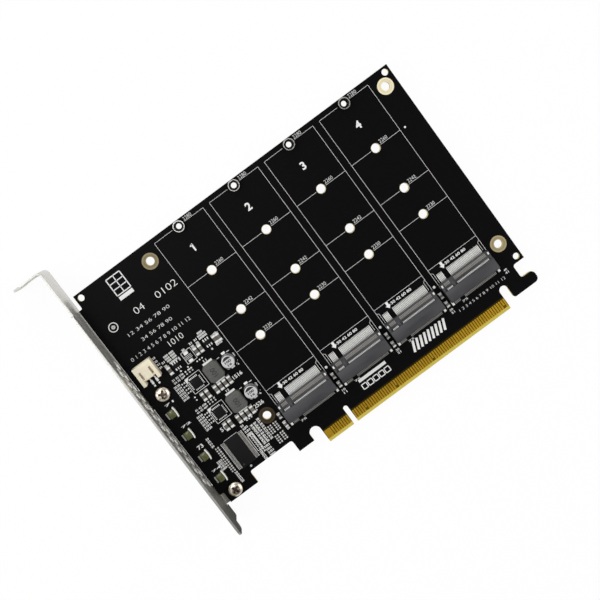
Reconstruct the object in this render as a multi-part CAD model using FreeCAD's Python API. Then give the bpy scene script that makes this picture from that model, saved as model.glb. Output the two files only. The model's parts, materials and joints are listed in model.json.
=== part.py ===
import FreeCAD, Part

import math
import os

from FreeCAD import Vector

# Four-slot solid-state drive adapter card for a computer expansion slot.
#
# Millimetres. The origin is the centre of the card-edge key notch, at the bottom edge of the contacts,
# on the face that carries the components. +X runs along the card away from the bracket, +Y up the card
# away from the contacts, +Z out of the component face.

# ---------------------------------------------------------------- driving dimensions
# Card edge, as the expansion slot needs it
board_thickness = 1.57
key_notch_width = 1.9
key_notch_top = 7.8
contact_pitch = 1.0
contact_width = 0.7
contact_top = 4.7
contact_thickness = 0.05
contacts_before_key = 11
contacts_after_key = 71
first_contact_offset = 1.5          # from the key notch centre to the contact on either side of it
power_contacts = 3                  # the first ones join into one wide pad on the component side
presence_contacts = (17, 31, 48, 81)    # shorter, so they meet the slot last
presence_setback = 1.1
bevel_height = 1.3
bevel_depth = 0.42

# Drive slots
slot_count = 4
slots_middle_x = 28.5
socket_gap = 3.0                    # between one socket and the next
module_seat_y = 18.2                # where a drive's own contact edge stops
module_lengths = (30.0, 42.0, 60.0, 80.0)
module_hole_diameter = 3.3

# Board outline
bracket_side_margin = 46.5          # from the first slot's centre line to the board's edge
lip_low_y = 8.7                     # the board reaches almost to the bracket between these two
lip_below_top = 5.6
lip_clearance = 0.3                 # from the bracket's inner face
lip_corner = 0.6
far_side_margin = 21.0
top_margin = 2.35                   # above the row of standoffs
body_bottom_y = 4.05
routed_corner = 1.0                 # left by the router in a notch
edge_recess_from = 12.6             # from the board's bracket side
edge_recess_length = 19.5
edge_recess_top = 9.2
front_notch_width = 4.6
front_notch_top = 8.6
rear_slot_width = 3.4
rear_slot_top = 8.8
hook_bottom_y = 2.4
hook_top_y = 6.9
hook_notch_depth = 5.2
hook_notch_height = 5.7
hook_corner = 1.8

# Holes in the board
tooling_hole_diameter = 2.5
tooling_hole_inset = 2.1
plate_hole_diameter = 3.2
plate_hole_ring = 6.3
plate_hole_beside_slot = 16.1       # outside the first and last slot's centre line
plate_hole_above_seat = 4.25
plate_hole_below_top = 6.35
ring_thickness = 0.05

# Drive sockets
socket_width = 22.0
socket_height = 4.2
socket_rear = 2.8                   # behind the module seat
upper_jaw_reach = 2.0               # in front of the module seat
lower_jaw_reach = 5.3
lower_jaw_height = 2.3
mouth_height = 0.95
mouth_width = 20.1
mouth_clearance = 0.3               # behind the seated drive
mouth_flare = 0.3
arm_height = 3.4
socket_edge = 0.3
key_web_x = -6.125
key_web_width = 1.0
key_web_reach = 3.6
socket_pitch = 0.5
odd_contact_x = 9.25                # contact 1; even contacts lie half a pitch inside
socket_positions = 38
key_positions = (29, 30, 31, 32)    # left out of each row for the key
tail_width = 0.25
tail_thickness = 0.15
tail_reach = 8.8
lug_reach = 4.5
lug_width = 0.9

# Standoffs for the drives' far ends
standoff_height = 2.5
standoff_diameter = 4.4
standoff_core_diameter = 3.3
standoff_thread_diameter = 2.1

# Bracket
bracket_gap = 1.95                  # between the board's corners and the bracket's inner face
bracket_thickness = 0.86
bracket_width = 18.42
bracket_height = 120.02
bracket_tip_y = -5.1
bracket_below_board = 2.6           # past the solder face
tongue_width = 10.19
tongue_length = 3.1
tongue_corner = 2.2
bracket_corner = 1.0
bracket_neck_y = 95.2
bracket_neck_step = 2.0
neck_round_share = 0.45             # of the step, for each of its two rounds
tab_reach = 11.43
tab_bend = 1.2
tab_notch_width = 4.42
tab_notch_depth = 5.2
tab_notch_from_plate = 5.9
tab_corner_cut = 3.2
vent_flats = 4.0
vent_pitch = 5.0
vent_count = 12
vent_first_y = 15.9
vent_row_z = 3.2
flange_reach = 9.7                  # under the board, from the bracket's inner face
flange_below_screw = 3.0
flange_above_screw = 5.8
flange_bend = 0.5
flange_relief = 0.8
flange_boss_diameter = 4.8
flange_boss_height = 0.9

# Bracket screws
screw_from_edge = 4.4
lower_screw_y = 7.2
screw_spacing = 45.0
screw_thread_diameter = 3.0
screw_hole_diameter = 3.4
screw_head_diameter = 5.8
screw_head_height = 1.9
screw_head_bevel = 0.8
screw_length = 4.0

# Fan connector
fan_from_edge = 5.05
fan_y = 60.2
fan_width = 7.8
fan_depth = 6.2
fan_height = 5.5
fan_wall = 0.85
fan_arm_width = 1.4
fan_arm_reach = 1.7
fan_slot_width = 0.8
fan_slot_length = 3.8
fan_pin_pitch = 2.0
fan_pin_width = 0.5
fan_pin_z = 2.6
fan_tail_reach = 3.0

# Clock buffer, a long gull-wing package
buffer_from_edge = 14.55
buffer_y = 17.95
buffer_width = 6.1
buffer_length = 12.5
buffer_height = 1.1
buffer_lead_count = 24
buffer_lead_pitch = 0.5
buffer_lead_width = 0.24
buffer_lead_span = 8.9
buffer_lead_thickness = 0.15
lead_knee_share = 0.45              # of a lead's reach, where it bends down
package_clearance = 0.1             # under the moulded packages
package_draft = 0.12

# Voltage converters and what belongs to each
converter_from_edge = 16.95
converter_y = (48.15, 34.1)
converter_size = 4.0
converter_height = 0.9
inductor_offset = (7.7, -0.3)
inductor_width = 6.4
inductor_length = 7.3
inductor_height = 3.0
inductor_chamfer = 0.9
inductor_edge = 0.35
inductor_terminal_width = 4.1
inductor_terminal_reach = 0.75
inductor_terminal_thickness = 0.35
can_offset = (14.35, -0.2)
can_diameter = 4.9
can_height = 5.6
can_edge = 0.4
can_base = 5.3
can_base_height = 0.9
can_base_cut = 1.2
can_terminal_width = 1.5
can_terminal_reach = 0.9
can_terminal_thickness = 0.2
output_capacitor_offset = (4.35, -6.4)
output_capacitor_pitch = 2.04
output_capacitors = 4
input_capacitor_offset = (-1.1, -5.85)
input_capacitor_pitch = 2.05
input_capacitors = 2

# Chip capacitors and resistors: length, width, height
large_chip = (3.2, 1.45, 1.2)
medium_chip = (2.0, 1.2, 0.8)
small_chip = (1.05, 0.55, 0.4)
chip_end_share = 0.28

# Small parts above the converters: distance from the board's bracket side, and Y
monitor_chip_places = ((14.9, 57.7), (29.2, 57.75))
monitor_chip_size = (2.9, 1.6, 1.1)
monitor_lead_pitch = 0.95
monitor_lead_width = 0.4
monitor_lead_span = 2.9
monitor_lead_thickness = 0.3
fuse_place = (20.4, 57.7)
fuse_size = (4.6, 1.7, 1.3)
upper_capacitor_places = ((11.8, 57.55), (23.9, 57.55), (25.9, 57.55), (32.15, 57.1), (33.7, 57.0))

# Columns of small chips: distance from the board's bracket side, first Y and last Y
small_chip_pitch = 0.95
small_chip_columns = (
    (8.0, 23.6, 13.15),
    (21.3, 19.9, 12.3),
    (24.2, 22.9, 20.05),
    (24.2, 18.1, 15.25),
    (28.6, 18.6, 15.75),
    (31.0, 18.6, 15.75),
    (28.6, 14.1, 11.25),
    (31.0, 14.1, 11.25),
)

# Small chips beside each converter, a column and a row that start at these offsets from it
converter_chips = 4
converter_chip_pitch = 1.3
converter_chip_column_offset = (-4.2, 2.5)
converter_chip_row_offset = (-2.2, 5.1)

# Decoupling in the gap before each socket, from the module seat
slot_capacitor_above_seat = 1.3
slot_chip_below_seat = 2.6

# Status lights
light_count = 4
light_pitch = 10.0
light_from_edge = 2.75
light_first_y = 14.2
light_length = 2.6
light_width = 3.2
light_height = 1.7
light_edge = 0.4
light_housing_length = 0.9
light_housing_width = 4.6
light_housing_height = 2.1
light_terminal_length = 0.95
light_terminal_width = 2.6
light_terminal_height = 0.5

# ---------------------------------------------------------------- places worked out from them
slot_pitch = socket_width + socket_gap
first_slot_x = slots_middle_x - (slot_count - 1) / 2 * slot_pitch
last_slot_x = first_slot_x + (slot_count - 1) * slot_pitch
slot_xs = [first_slot_x + index * slot_pitch for index in range(slot_count)]
board_left = first_slot_x - bracket_side_margin
board_right = last_slot_x + far_side_margin
standoff_y = module_seat_y + module_lengths[-1]
board_top = standoff_y + top_margin
board_bottom_z = -board_thickness
first_contact_x = -first_contact_offset - (contacts_before_key - 1) * contact_pitch
contact_side_margin = first_contact_offset - key_notch_width / 2
front_end_x = first_contact_x - contact_side_margin
rear_end_x = first_contact_offset + (contacts_after_key - 1) * contact_pitch + contact_side_margin
plate_hole_xs = (first_slot_x - plate_hole_beside_slot, last_slot_x + plate_hole_beside_slot)
plate_hole_ys = (module_seat_y + plate_hole_above_seat, board_top - plate_hole_below_top)
plate_inner_x = board_left - bracket_gap
plate_outer_x = plate_inner_x - bracket_thickness
lip_x = plate_inner_x + lip_clearance
lip_high_y = board_top - lip_below_top
bracket_low_z = board_bottom_z - bracket_below_board
bracket_high_z = bracket_low_z + bracket_width
bracket_top_y = bracket_tip_y + bracket_height
screw_x = board_left + screw_from_edge
screw_ys = (lower_screw_y, lower_screw_y + screw_spacing)
flange_top_z = board_bottom_z
fan_x = board_left + fan_from_edge
buffer_x = board_left + buffer_from_edge
converter_x = board_left + converter_from_edge


# ---------------------------------------------------------------- shape helpers
def block(low, high):
    """Box between two opposite corners."""
    return Part.makeBox(high[0] - low[0], high[1] - low[1], high[2] - low[2], Vector(*low))


def centred_block(x, y, low_z, size_x, size_y, size_z):
    """Box standing on low_z, centred on x and y."""
    return block((x - size_x / 2, y - size_y / 2, low_z), (x + size_x / 2, y + size_y / 2, low_z + size_z))


def rod(x, y, low_z, high_z, diameter):
    """Round bar along Z."""
    return Part.makeCylinder(diameter / 2, high_z - low_z, Vector(x, y, low_z))


def rounded_face(corners):
    """Flat face through (point, radius) corners, with a tangent arc at each corner that has a radius."""
    starts, middles, ends = [], [], []
    for index, (point, radius) in enumerate(corners):
        before = corners[index - 1][0] - point
        after = corners[(index + 1) % len(corners)][0] - point
        before.normalize()
        after.normalize()
        half_angle = before.getAngle(after) / 2
        inward = before + after
        reach = radius / math.tan(half_angle)
        starts.append(point + before * reach)
        ends.append(point + after * reach)
        if radius:
            inward.normalize()
        middles.append(point + inward * (radius / math.sin(half_angle) - radius))
    edges = []
    for index, (point, radius) in enumerate(corners):
        if radius:
            edges.append(Part.Arc(starts[index], middles[index], ends[index]).toShape())
        following = starts[(index + 1) % len(corners)]
        if ends[index].distanceToPoint(following) > 1e-6:
            edges.append(Part.makeLine(ends[index], following))
    return Part.Face(Part.Wire(edges))


def turned(x, y, profile):
    """Solid of revolution round a vertical axis, from (radius, z) points."""
    face = rounded_face([(Vector(x + radius, y, z), 0.0) for radius, z in profile])
    return face.revolve(Vector(x, y, 0), Vector(0, 0, 1), 360)


def flat_plate(corners, low_z, thickness):
    """Plate with an outline of (x, y, radius) corners."""
    face = rounded_face([(Vector(x, y, low_z), radius) for x, y, radius in corners])
    return face.extrude(Vector(0, 0, thickness))


def bar_along_x(corners, low_x, high_x):
    """Bar along X with a section of (y, z, radius) corners."""
    face = rounded_face([(Vector(low_x, y, z), radius) for y, z, radius in corners])
    return face.extrude(Vector(high_x - low_x, 0, 0))


def bar_along_y(corners, low_y, high_y):
    """Bar along Y with a section of (x, z, radius) corners."""
    face = rounded_face([(Vector(x, low_y, z), radius) for x, z, radius in corners])
    return face.extrude(Vector(0, high_y - low_y, 0))


def drafted_block(x, y, low_z, size_x, size_y, size_z, draft):
    """Moulded block whose four sides lean in from mid height to the top and to the bottom."""
    levels = ((0.0, draft), (size_z / 2, 0.0), (size_z, draft))
    halves = []
    for (low, low_inset), (high, high_inset) in zip(levels, levels[1:]):
        wires = []
        for level, inset in ((low, low_inset), (high, high_inset)):
            half_x = size_x / 2 - inset
            half_y = size_y / 2 - inset
            ring = [Vector(x + sx * half_x, y + sy * half_y, low_z + level)
                    for sx, sy in ((-1, -1), (1, -1), (1, 1), (-1, 1), (-1, -1))]
            wires.append(Part.makePolygon(ring))
        halves.append(Part.makeLoft(wires, True, True))
    return halves[0].fuse(halves[1]).removeSplitter()


def save(node, shape):
    """Write one sub-part."""
    shape.exportStep("parts/" + node + ".step")


# ---------------------------------------------------------------- bare board
def board_outline():
    """Outline of the board, anticlockwise from its top left corner."""
    recess_left = board_left + edge_recess_from
    recess_right = recess_left + edge_recess_length
    notch_left = front_end_x - front_notch_width
    hook_left = rear_end_x + rear_slot_width
    notch_half = front_notch_width / 2
    slot_half = rear_slot_width / 2
    key_half = key_notch_width / 2
    inner = board_right - hook_notch_depth
    return [
        (board_left, board_top, 0.0),
        (board_left, lip_high_y, lip_corner),
        (lip_x, lip_high_y, 0.0),
        (lip_x, lip_low_y, 0.0),
        (board_left, lip_low_y, lip_corner),
        (board_left, body_bottom_y, 0.0),
        (recess_left, body_bottom_y, 0.0),
        (recess_left, edge_recess_top, routed_corner),
        (recess_right, edge_recess_top, routed_corner),
        (recess_right, body_bottom_y, 0.0),
        (notch_left, body_bottom_y, 0.0),
        (notch_left, front_notch_top, notch_half),
        (front_end_x, front_notch_top, notch_half),
        (front_end_x, 0.0, 0.0),
        (-key_half, 0.0, 0.0),
        (-key_half, key_notch_top, key_half),
        (key_half, key_notch_top, key_half),
        (key_half, 0.0, 0.0),
        (rear_end_x, 0.0, 0.0),
        (rear_end_x, rear_slot_top, slot_half),
        (hook_left, rear_slot_top, slot_half),
        (hook_left, hook_bottom_y, routed_corner),
        (board_right, hook_bottom_y, hook_corner),
        (board_right, hook_top_y, hook_corner),
        (inner, hook_top_y, routed_corner),
        (inner, hook_top_y + hook_notch_height, routed_corner),
        (board_right, hook_top_y + hook_notch_height, 0.0),
        (board_right, board_top, 0.0),
    ]


def tooling_hole_places():
    """Hole centres near three of the board's corners."""
    high = board_top - tooling_hole_inset
    beside_hook = hook_top_y + hook_notch_height + tooling_hole_inset
    return [
        (board_left + tooling_hole_inset, high),
        (board_right - tooling_hole_inset, high),
        (board_right - tooling_hole_inset, beside_hook),
    ]


def board_holes():
    """Every round hole through the board."""
    holes = [(x, y, tooling_hole_diameter) for x, y in tooling_hole_places()]
    holes += [(x, y, plate_hole_diameter) for x in plate_hole_xs for y in plate_hole_ys]
    holes += [(screw_x, y, screw_hole_diameter) for y in screw_ys]
    for x in slot_xs:
        holes += [(x, module_seat_y + length, module_hole_diameter) for length in module_lengths[:-1]]
        holes.append((x, standoff_y, standoff_core_diameter))
    return holes


def make_board():
    """Laminate with its card-edge tongues, bevel, notches and holes."""
    board = flat_plate(board_outline(), board_bottom_z, board_thickness)
    for side in (0.0, board_bottom_z):
        inward = -bevel_depth if side == 0.0 else bevel_depth
        wedge = [(0.0, side, 0.0), (0.0, side + inward, 0.0), (bevel_height, side, 0.0)]
        board = board.cut(bar_along_x(wedge, front_end_x, rear_end_x))
    cutters = [rod(x, y, board_bottom_z, 0.0, diameter) for x, y, diameter in board_holes()]
    return board.cut(Part.makeCompound(cutters))


def contact_row(low_z, joined, short):
    """One face's card-edge contacts; the first few may be joined, and the short ones start higher."""
    half = contact_width / 2
    pads = []
    if joined:
        last_x = first_contact_x + (joined - 1) * contact_pitch
        pads.append((first_contact_x - half, last_x + half, bevel_height))
    for number in range(joined + 1, contacts_before_key + contacts_after_key + 1):
        if number <= contacts_before_key:
            x = first_contact_x + (number - 1) * contact_pitch
        else:
            x = first_contact_offset + (number - 1 - contacts_before_key) * contact_pitch
        low_y = bevel_height + (presence_setback if number in short else 0.0)
        pads.append((x - half, x + half, low_y))
    return Part.makeCompound([
        block((low_x, low_y, low_z), (high_x, contact_top, low_z + contact_thickness))
        for low_x, high_x, low_y in pads
    ])


def make_mounting_rings():
    """Bare metal rings round the four plate holes, on the component face."""
    rings = []
    for x in plate_hole_xs:
        for y in plate_hole_ys:
            ring = rod(x, y, 0.0, ring_thickness, plate_hole_ring)
            rings.append(ring.cut(rod(x, y, 0.0, ring_thickness, plate_hole_diameter)))
    return Part.makeCompound(rings)


# ---------------------------------------------------------------- drive sockets
def make_socket_housing(x):
    """Moulded socket whose mouth opens up the card, with a key web and two side arms."""
    seat = module_seat_y
    rear = seat - socket_rear
    front = seat + upper_jaw_reach
    lip = seat + lower_jaw_reach
    mouth_back = seat - mouth_clearance
    mouth_low = lower_jaw_height
    mouth_high = lower_jaw_height + mouth_height
    half = socket_width / 2
    mouth_half = mouth_width / 2
    jaws = [
        (rear, 0.0, 0.0),
        (lip, 0.0, 0.0),
        (lip, mouth_low - socket_edge, 0.0),
        (lip - socket_edge, mouth_low, 0.0),
        (mouth_back, mouth_low, 0.0),
        (mouth_back, mouth_high, 0.0),
        (front, mouth_high + mouth_flare, 0.0),
        (front, socket_height, 0.0),
        (rear + socket_edge, socket_height, 0.0),
        (rear, socket_height - socket_edge, 0.0),
    ]
    side = [
        (rear, 0.0, 0.0),
        (lip, 0.0, 0.0),
        (lip, arm_height - socket_edge, 0.0),
        (lip - socket_edge, arm_height, 0.0),
        (front, arm_height, 0.0),
        (front, socket_height, 0.0),
        (rear + socket_edge, socket_height, 0.0),
        (rear, socket_height - socket_edge, 0.0),
    ]
    key_high = mouth_high + mouth_flare
    key_lip = seat + key_web_reach
    housing = bar_along_x(jaws, x - mouth_half, x + mouth_half)
    housing = housing.fuse(bar_along_x(side, x - half, x - mouth_half))
    housing = housing.fuse(bar_along_x(side, x + mouth_half, x + half))
    web = [
        (mouth_back - socket_edge, mouth_low, 0.0),
        (key_lip, mouth_low, 0.0),
        (front, key_high, 0.0),
        (mouth_back - socket_edge, key_high, 0.0),
    ]
    web_low = x + key_web_x - key_web_width / 2
    return housing.fuse(bar_along_x(web, web_low, web_low + key_web_width)).removeSplitter()


def make_socket_contacts(x):
    """Solder tails in front of a socket, and the two lugs that hold it behind."""
    front = module_seat_y + lower_jaw_reach
    rear = module_seat_y - socket_rear
    pieces = []
    for position in range(socket_positions):
        if position not in key_positions:
            tail_x = x + odd_contact_x - position * socket_pitch
            pieces.append(block((tail_x - tail_width / 2, front, 0.0),
                                (tail_x + tail_width / 2, module_seat_y + tail_reach, tail_thickness)))
    for side in (-1, 1):
        lug_x = x + side * (socket_width - lug_width) / 2
        pieces.append(block((lug_x - lug_width / 2, module_seat_y - lug_reach, 0.0),
                            (lug_x + lug_width / 2, rear, tail_thickness)))
    return Part.makeCompound(pieces)


def make_standoff(x):
    """Threaded standoff whose narrower foot is soldered into the board."""
    body = rod(x, standoff_y, 0.0, standoff_height, standoff_diameter)
    body = body.fuse(rod(x, standoff_y, board_bottom_z, 0.0, standoff_core_diameter))
    return body.cut(rod(x, standoff_y, board_bottom_z, standoff_height, standoff_thread_diameter))


# ---------------------------------------------------------------- bracket and its screws
def bracket_sheet():
    """The folded sheet seen along Z: the long plate and the screw tab at its top."""
    tab_end = plate_outer_x - tab_reach
    tab_low = bracket_top_y - bracket_thickness
    outline = [
        (plate_inner_x, bracket_tip_y, 0.0),
        (plate_inner_x, bracket_top_y, tab_bend + bracket_thickness),
        (tab_end, bracket_top_y, 0.0),
        (tab_end, tab_low, 0.0),
        (plate_outer_x, tab_low, tab_bend),
        (plate_outer_x, bracket_tip_y, 0.0),
    ]
    return flat_plate(outline, bracket_low_z, bracket_width)


def plate_outline():
    """The plate seen along X, as (y, z, radius): its tongue, shoulders and narrower neck."""
    tongue_low_z = bracket_high_z - tongue_width
    shoulder_y = bracket_tip_y + tongue_length
    neck_z = bracket_high_z - bracket_neck_step
    step_round = bracket_neck_step * neck_round_share
    return [
        (bracket_tip_y, tongue_low_z, tongue_corner),
        (shoulder_y, tongue_low_z, 0.0),
        (shoulder_y, bracket_low_z, bracket_corner),
        (bracket_top_y, bracket_low_z, 0.0),
        (bracket_top_y, neck_z, 0.0),
        (bracket_neck_y, neck_z, step_round),
        (bracket_neck_y, bracket_high_z, step_round),
        (bracket_tip_y, bracket_high_z, tongue_corner),
    ]


def tab_outline():
    """The tab seen along Y, as (x, z, radius): a screw notch on one side, a cut corner on the other."""
    end_x = plate_outer_x - tab_reach
    neck_z = bracket_high_z - bracket_neck_step
    notch_x = plate_outer_x - tab_notch_from_plate
    notch_half = tab_notch_width / 2
    notch_z = bracket_low_z + tab_notch_depth
    return [
        (plate_inner_x, bracket_low_z, 0.0),
        (notch_x + notch_half, bracket_low_z, 0.0),
        (notch_x + notch_half, notch_z, notch_half),
        (notch_x - notch_half, notch_z, notch_half),
        (notch_x - notch_half, bracket_low_z, 0.0),
        (end_x, bracket_low_z, bracket_corner),
        (end_x, neck_z - tab_corner_cut, 0.0),
        (end_x + tab_corner_cut, neck_z, 0.0),
        (plate_inner_x, neck_z, 0.0),
    ]


def vent_places():
    """Centres of two staggered rows of vents, as (y, z)."""
    row_step = vent_pitch * math.cos(math.radians(30))
    lower = [(vent_first_y + index * vent_pitch, vent_row_z) for index in range(vent_count)]
    upper = [(y + vent_pitch / 2, z + row_step) for y, z in lower[:-1]]
    return lower + upper


def make_flange(y):
    """Foot bent under the board, with an extruded thread for a screw."""
    outer_z = flange_top_z - bracket_thickness
    foot_end = plate_inner_x + flange_reach
    section = [
        (plate_outer_x, outer_z, flange_bend + bracket_thickness),
        (foot_end, outer_z, 0.0),
        (foot_end, flange_top_z, 0.0),
        (plate_inner_x, flange_top_z, flange_bend),
        (plate_inner_x, flange_top_z + flange_bend * 2, 0.0),
        (plate_outer_x, flange_top_z + flange_bend * 2, 0.0),
    ]
    flange = bar_along_y(section, y - flange_below_screw, y + flange_above_screw)
    return flange.fuse(rod(screw_x, y, outer_z - flange_boss_height, outer_z, flange_boss_diameter))


def make_vent(y, z):
    """Six-sided cutter through the plate, with two of its points along Z."""
    corner_radius = vent_flats / math.sqrt(3)
    corners = []
    for side in range(6):
        angle = math.radians(60 * side)
        corners.append((y + corner_radius * math.sin(angle), z + corner_radius * math.cos(angle), 0.0))
    return bar_along_x(corners, plate_outer_x, plate_inner_x)


def make_bracket():
    """Steel bracket: a vented plate with a tongue, a screw tab and two feet under the board."""
    plate_form = bar_along_x(plate_outline(), plate_outer_x - tab_reach, plate_inner_x)
    tab_form = bar_along_y(tab_outline(), bracket_tip_y, bracket_top_y)
    below_neck = block((plate_outer_x - tab_bend, bracket_tip_y, bracket_low_z),
                       (plate_inner_x, bracket_neck_y, bracket_high_z))
    bracket = bracket_sheet().common(plate_form).common(tab_form.fuse(below_neck))
    boss_low_z = flange_top_z - bracket_thickness - flange_boss_height
    for y in screw_ys:
        relief = block((plate_outer_x, y - flange_below_screw - flange_relief, bracket_low_z),
                       (plate_inner_x, y + flange_above_screw + flange_relief, flange_top_z + flange_bend))
        bracket = bracket.cut(relief).fuse(make_flange(y))
        bracket = bracket.cut(rod(screw_x, y, boss_low_z, flange_top_z, screw_thread_diameter))
    vents = [make_vent(y, z) for y, z in vent_places()]
    return bracket.cut(Part.makeCompound(vents)).removeSplitter()


def make_screw(y):
    """Machine screw with a bevelled head, through the board into the bracket's foot."""
    head = screw_head_diameter / 2
    shank = screw_thread_diameter / 2
    profile = [(0.0, -screw_length), (shank, -screw_length), (shank, 0.0), (head, 0.0),
               (head, screw_head_height - screw_head_bevel),
               (head - screw_head_bevel, screw_head_height), (0.0, screw_head_height)]
    return turned(screw_x, y, profile)


# ---------------------------------------------------------------- fan connector
def make_fan_housing():
    """Side-entry two-pin header: its mouth opens up the card, its arms reach back past the pins."""
    half = fan_width / 2
    front_y = fan_y + fan_depth
    housing = block((fan_x - half, fan_y, 0.0), (fan_x + half, front_y, fan_height))
    mouth = block((fan_x - half + fan_wall, fan_y + fan_wall, fan_wall),
                  (fan_x + half - fan_wall, front_y, fan_height - fan_wall))
    housing = housing.cut(mouth)
    for side in (-1, 1):
        arm_x = fan_x + side * (half - fan_arm_width / 2)
        arm_y = fan_y - fan_arm_reach / 2
        housing = housing.fuse(centred_block(arm_x, arm_y, 0.0, fan_arm_width, fan_arm_reach, fan_height))
        slot_x = fan_x + side * (half - fan_arm_width - fan_slot_width / 2)
        housing = housing.cut(block(
            (slot_x - fan_slot_width / 2, fan_y, fan_height - fan_wall),
            (slot_x + fan_slot_width / 2, fan_y + fan_slot_length, fan_height)))
    return housing.cut(make_fan_pins()).removeSplitter()


def make_fan_pins():
    """Two square pins bent down to the board behind the housing."""
    half = fan_pin_width / 2
    drop_y = fan_y - fan_pin_width
    section = [
        (fan_y + fan_depth - fan_wall, fan_pin_z - half, 0.0),
        (fan_y + fan_depth - fan_wall, fan_pin_z + half, 0.0),
        (drop_y, fan_pin_z + half, half),
        (drop_y, fan_pin_width, 0.0),
        (fan_y - fan_tail_reach, fan_pin_width, 0.0),
        (fan_y - fan_tail_reach, 0.0, 0.0),
        (fan_y, 0.0, 0.0),
        (fan_y, fan_pin_z - half, 0.0),
    ]
    pins = []
    for side in (-1, 1):
        x = fan_x + side * fan_pin_pitch / 2
        pins.append(bar_along_x(section, x - half, x + half))
    return Part.makeCompound(pins)


# ---------------------------------------------------------------- packaged chips
def gull_wing(y, inner_x, outer_x, knee_z):
    """Lead along X from a package side, bent down to a foot on the board."""
    thickness = buffer_lead_thickness
    fold = thickness if outer_x > inner_x else -thickness
    knee_x = inner_x + (outer_x - inner_x) * lead_knee_share
    section = [
        (inner_x, knee_z, 0.0),
        (knee_x, knee_z, 0.0),
        (knee_x, thickness, 0.0),
        (outer_x, thickness, 0.0),
        (outer_x, 0.0, 0.0),
        (knee_x - fold, 0.0, 0.0),
        (knee_x - fold, knee_z - thickness, 0.0),
        (inner_x, knee_z - thickness, 0.0),
    ]
    return bar_along_y(section, y - buffer_lead_width / 2, y + buffer_lead_width / 2)


def make_buffer():
    """Body and leads of the clock buffer."""
    body = drafted_block(buffer_x, buffer_y, package_clearance, buffer_width, buffer_length,
                         buffer_height - package_clearance, package_draft)
    knee_z = (buffer_height + package_clearance + buffer_lead_thickness) / 2
    leads = []
    for index in range(buffer_lead_count):
        y = buffer_y + (index - (buffer_lead_count - 1) / 2) * buffer_lead_pitch
        for side in (-1, 1):
            leads.append(gull_wing(y, buffer_x + side * buffer_width / 2,
                                   buffer_x + side * buffer_lead_span / 2, knee_z))
    return body, Part.makeCompound(leads)


def make_monitor_chips():
    """Bodies and leads of the two six-lead chips above the converters."""
    length, width, height = monitor_chip_size
    bodies, leads = [], []
    for from_edge, y in monitor_chip_places:
        x = board_left + from_edge
        bodies.append(drafted_block(x, y, package_clearance, length, width, height - package_clearance,
                                    package_draft))
        for side in (-1, 1):
            for index in (-1, 0, 1):
                lead_x = x + index * monitor_lead_pitch
                low_y, high_y = sorted((y + side * width / 2, y + side * monitor_lead_span / 2))
                leads.append(block((lead_x - monitor_lead_width / 2, low_y, 0.0),
                                   (lead_x + monitor_lead_width / 2, high_y, monitor_lead_thickness)))
    return Part.makeCompound(bodies), Part.makeCompound(leads)


def make_converter(y):
    """Leadless square package of one voltage converter."""
    return centred_block(converter_x, y, 0.0, converter_size, converter_size, converter_height)


# ---------------------------------------------------------------- power parts
def make_inductor(y):
    """Moulded inductor with cut corners, and the terminals that show at its two ends."""
    x = converter_x + inductor_offset[0]
    centre_y = y + inductor_offset[1]
    half_x, half_y = inductor_width / 2, inductor_length / 2
    cut = inductor_chamfer
    outline = [
        (x - half_x + cut, centre_y - half_y, 0.0), (x + half_x - cut, centre_y - half_y, 0.0),
        (x + half_x, centre_y - half_y + cut, 0.0), (x + half_x, centre_y + half_y - cut, 0.0),
        (x + half_x - cut, centre_y + half_y, 0.0), (x - half_x + cut, centre_y + half_y, 0.0),
        (x - half_x, centre_y + half_y - cut, 0.0), (x - half_x, centre_y - half_y + cut, 0.0),
    ]
    body = flat_plate(outline, 0.0, inductor_height)
    top_edges = [edge for edge in body.Edges if edge.BoundBox.ZMin > inductor_height - 1e-3]
    body = body.makeChamfer(inductor_edge, top_edges)
    terminals = []
    for side in (-1, 1):
        terminals.append(centred_block(
            x, centre_y + side * (half_y + inductor_terminal_reach / 2), 0.0,
            inductor_terminal_width, inductor_terminal_reach, inductor_terminal_thickness))
    return body, terminals


def make_can(y):
    """Aluminium can capacitor: can, moulded base with two cut corners, and its terminals."""
    x = converter_x + can_offset[0]
    centre_y = y + can_offset[1]
    half = can_base / 2
    base = flat_plate([
        (x - half, centre_y - half, 0.0), (x + half, centre_y - half, 0.0),
        (x + half, centre_y + half - can_base_cut, 0.0), (x + half - can_base_cut, centre_y + half, 0.0),
        (x - half + can_base_cut, centre_y + half, 0.0), (x - half, centre_y + half - can_base_cut, 0.0),
    ], 0.0, can_base_height)
    radius = can_diameter / 2
    can = turned(x, centre_y, [
        (0.0, can_base_height), (radius, can_base_height), (radius, can_height - can_edge),
        (radius - can_edge, can_height), (0.0, can_height),
    ])
    terminals = []
    for side in (-1, 1):
        terminals.append(centred_block(
            x, centre_y + side * (half + can_terminal_reach / 2), 0.0,
            can_terminal_width, can_terminal_reach, can_terminal_thickness))
    return can, base, terminals


def chip(x, y, size, upright):
    """Chip part as three solids, its body between two metal ends; upright lays its length along Y."""
    length, width, height = size
    end = length * chip_end_share
    body = length - 2 * end
    pieces = []
    for along, piece_length in ((0.0, body), (-(length - end) / 2, end), ((length - end) / 2, end)):
        if upright:
            pieces.append(centred_block(x, y + along, 0.0, width, piece_length, height))
        else:
            pieces.append(centred_block(x + along, y, 0.0, piece_length, width, height))
    return pieces


def make_power_capacitors(y):
    """Ceramic capacitors that belong to one converter."""
    pieces = []
    for (offset_x, offset_y), pitch, count in (
            (output_capacitor_offset, output_capacitor_pitch, output_capacitors),
            (input_capacitor_offset, input_capacitor_pitch, input_capacitors)):
        for index in range(count):
            pieces += chip(converter_x + offset_x + index * pitch, y + offset_y, large_chip, True)
    return Part.makeCompound(pieces)


def make_upper_capacitors():
    """Upright capacitors in the row beside the fan connector."""
    pieces = []
    for from_edge, y in upper_capacitor_places:
        pieces += chip(board_left + from_edge, y, large_chip, True)
    return Part.makeCompound(pieces)


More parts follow.
